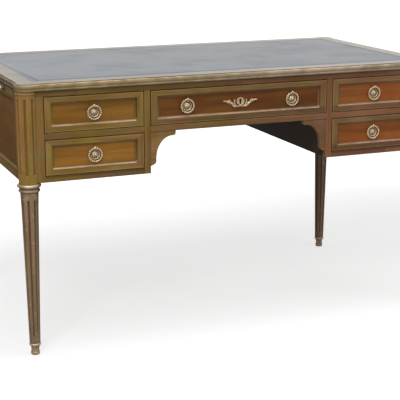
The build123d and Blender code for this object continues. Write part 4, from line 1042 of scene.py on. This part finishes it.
class DESK_OT_lock(DeskOperator, Operator):
    """Foliate escutcheon, lock case and bolt of the centre drawer"""

    bl_idname = "desk.lock"
    bl_label = "Lock"

    def make(self, sizes, finishes):
        finish_node("lock_case", steel("lock_steel"))
        finish_node("lock_bolt", brass("bolt_brass", finishes))
        material = brass("escutcheon_brass", finishes, raised(FIELD_FACE, 0.6, 1.8), 0.42)
        shape = Shape()
        place = on_field(0, KEYHOLE_Z)
        self.shield(shape, place)
        for side in (-1, 1):
            self.spray(shape, lambda u, w, h, s=side: place(s * u, w, h))
        shape.piece("foliate_escutcheon", material, "centre_drawer", ("escutcheon",))

    def keyhole_reach(self, a):
        """Millimetres from the keyhole's centre to its outline, at an angle from straight up."""
        across, up = math.sin(a), math.cos(a)
        rise, radius, slot_length, slot_half = 2.2, 3.7, 8.4, 2.4
        hole = rise * up + math.sqrt(radius**2 - (rise * across) ** 2)
        slot = min(-slot_length / up, slot_half / max(abs(across), 1e-6)) if up < -0.05 else 0
        return max(hole, slot)

    def shield(self, shape, place):
        """Oval plate with a moulded rim and a keyhole."""
        half_width, half_height = 12.4, 11.2
        section = (
            # share of the way from the keyhole to the rim, height in millimetres
            *((0.0, 0.0), (0.0, 1.2), (0.1, 1.9), (0.2, 1.5), (0.72, 1.6), (0.78, 2.0)),
            *((0.84, 3.1), (0.92, 3.3), (0.98, 2.6), (1.0, 1.2), (1.0, 0.0)),
        )
        reaches = []
        for a in circle(96):
            outer = 1 / math.hypot(math.sin(a) / half_width, math.cos(a) / half_height)
            reaches.append((a, self.keyhole_reach(a), outer))
        point = round_about(place)
        rows = [
            [point(inner + (outer - inner) * share, a, height) for a, inner, outer in reaches]
            for share, height in section
        ]
        shape.grid([*rows, rows[0]])

    def leaf(self, shape, place, root, turn, length, width, rise=2.2):
        """Pointed leaf with a sunk midrib, its tip curling off the ground. Sizes in millimetres."""
        rows = []
        for i in range(9):
            t = i / 8
            half = width / 2 * math.sin(math.pi * min(t * 0.92 + 0.06, 1)) ** 0.8
            lift = 0.6 + rise * math.sin(math.pi * (0.15 + 0.75 * t))
            row = []
            for s in circle(12):
                side, up = math.cos(s), math.sin(s)
                crest = 1.0 - 0.55 * math.exp(-((side / 0.22) ** 2)) if up > 0 else 0.4
                u, w = t * length, half * side
                across = root[0] + u * math.cos(turn) - w * math.sin(turn)
                height = root[1] + u * math.sin(turn) + w * math.cos(turn)
                row.append(place(across, height, max(lift + min(half, 1.4) * up * crest, 0.0)))
            rows.append(row)
        shape.grid(rows, caps=True)

    def flower(self, shape, place, centre, radius):
        """Small five-petalled flower. Sizes in millimetres."""
        for a in circle(5):
            a += 0.3
            petal = (centre[0] + 0.62 * radius * math.cos(a), centre[1] + 0.62 * radius * math.sin(a))
            shape.ball(place(*petal, 1.6), 0.5 * radius * MM)
        shape.ball(place(*centre, 2.6), 0.42 * radius * MM)

    def spray(self, shape, place):
        """Leafy branch that crosses under the shield and turns outward, with a horn beside the shield."""
        stem = (
            # across, up, radius
            *((-5, -11.6, 0.8), (1, -13.8, 1.2), (8, -14.8, 1.3), (14.5, -14.0, 1.3), (20, -11.4, 1.2)),
            *((25, -7.6, 1.0), (29.5, -3.8, 0.9), (35, -0.6, 0.9), (41, 1.0, 0.8), (47, 1.7, 0.6), (52, 2.0, 0.4)),
        )
        horn = (
            *((11.5, -12.6, 1.4), (15.4, -10.4, 1.7), (17.8, -6.0, 2.0)),
            *((18.7, -1.0, 2.1), (18.3, 3.0, 1.8), (16.6, 4.8, 1.2)),
        )
        for branch, out, sides in ((stem, 1.8, 10), (horn, 1.9, 12)):
            shape.tube([place(u, w, out) for u, w, _ in branch], [r for _, _, r in branch], sides)
        leaves = (
            # root, turn in degrees, length, width
            *(((9, -14.6), 8, 8.5, 2.8), ((13, -14.2), -8, 8.0, 3.2), ((19, -11.8), -4, 7.5, 2.6)),
            *(((20, -10.6), 62, 8.0, 3.4), ((23, -8.6), 32, 8.5, 3.6), ((27, -5.6), -6, 7.5, 2.6)),
            *(((29, -3.6), 72, 6.5, 3.0), ((33, -1.4), -14, 8.0, 2.6), ((37, 0.4), 30, 7.5, 3.0)),
            *(((40, 1.0), -12, 7.5, 2.4), ((43, 1.6), 24, 7.0, 2.6), ((46.5, 1.9), 2, 7.4, 2.8)),
        )
        for root, turn, length, width in leaves:
            self.leaf(shape, place, root, math.radians(turn), length, width)
        self.flower(shape, place, (35.2, 2.0), 3.4)
        self.flower(shape, place, (26.5, -4.4), 2.4)


class DESK_PT_parts(Panel):
    """Lists the desk's pieces, sizes and finishes"""

    bl_label = "Kneehole writing desk"
    bl_space_type = "VIEW_3D"
    bl_region_type = "UI"
    bl_category = "Desk"

    def draw(self, context):
        for operator in OPERATORS:
            self.layout.operator(operator.bl_idname)
        for group in (context.scene.desk_sizes, context.scene.desk_finishes):
            box = self.layout.box()
            for name in group.__annotations__:
                box.prop(group, name)


OPERATORS = (
    DESK_OT_stage,
    DESK_OT_top,
    DESK_OT_posts,
    DESK_OT_leg_brass,
    DESK_OT_case,
    DESK_OT_inner_works,
    DESK_OT_slides,
    DESK_OT_drawers,
    DESK_OT_pulls,
    DESK_OT_lock,
)
CLASSES = (DeskSizes, DeskFinishes, *OPERATORS, DESK_PT_parts)


def register():
    for cls in CLASSES:
        bpy.utils.register_class(cls)
    bpy.types.Scene.desk_sizes = PointerProperty(type=DeskSizes)
    bpy.types.Scene.desk_finishes = PointerProperty(type=DeskFinishes)


def unregister():
    del bpy.types.Scene.desk_sizes
    del bpy.types.Scene.desk_finishes
    for cls in reversed(CLASSES):
        bpy.utils.unregister_class(cls)


def main():
    """Builds every piece."""
    register()
    for operator in OPERATORS:
        group, name = operator.bl_idname.split(".")
        getattr(getattr(bpy.ops, group), name)()


if __name__ == "__main__":
    main()
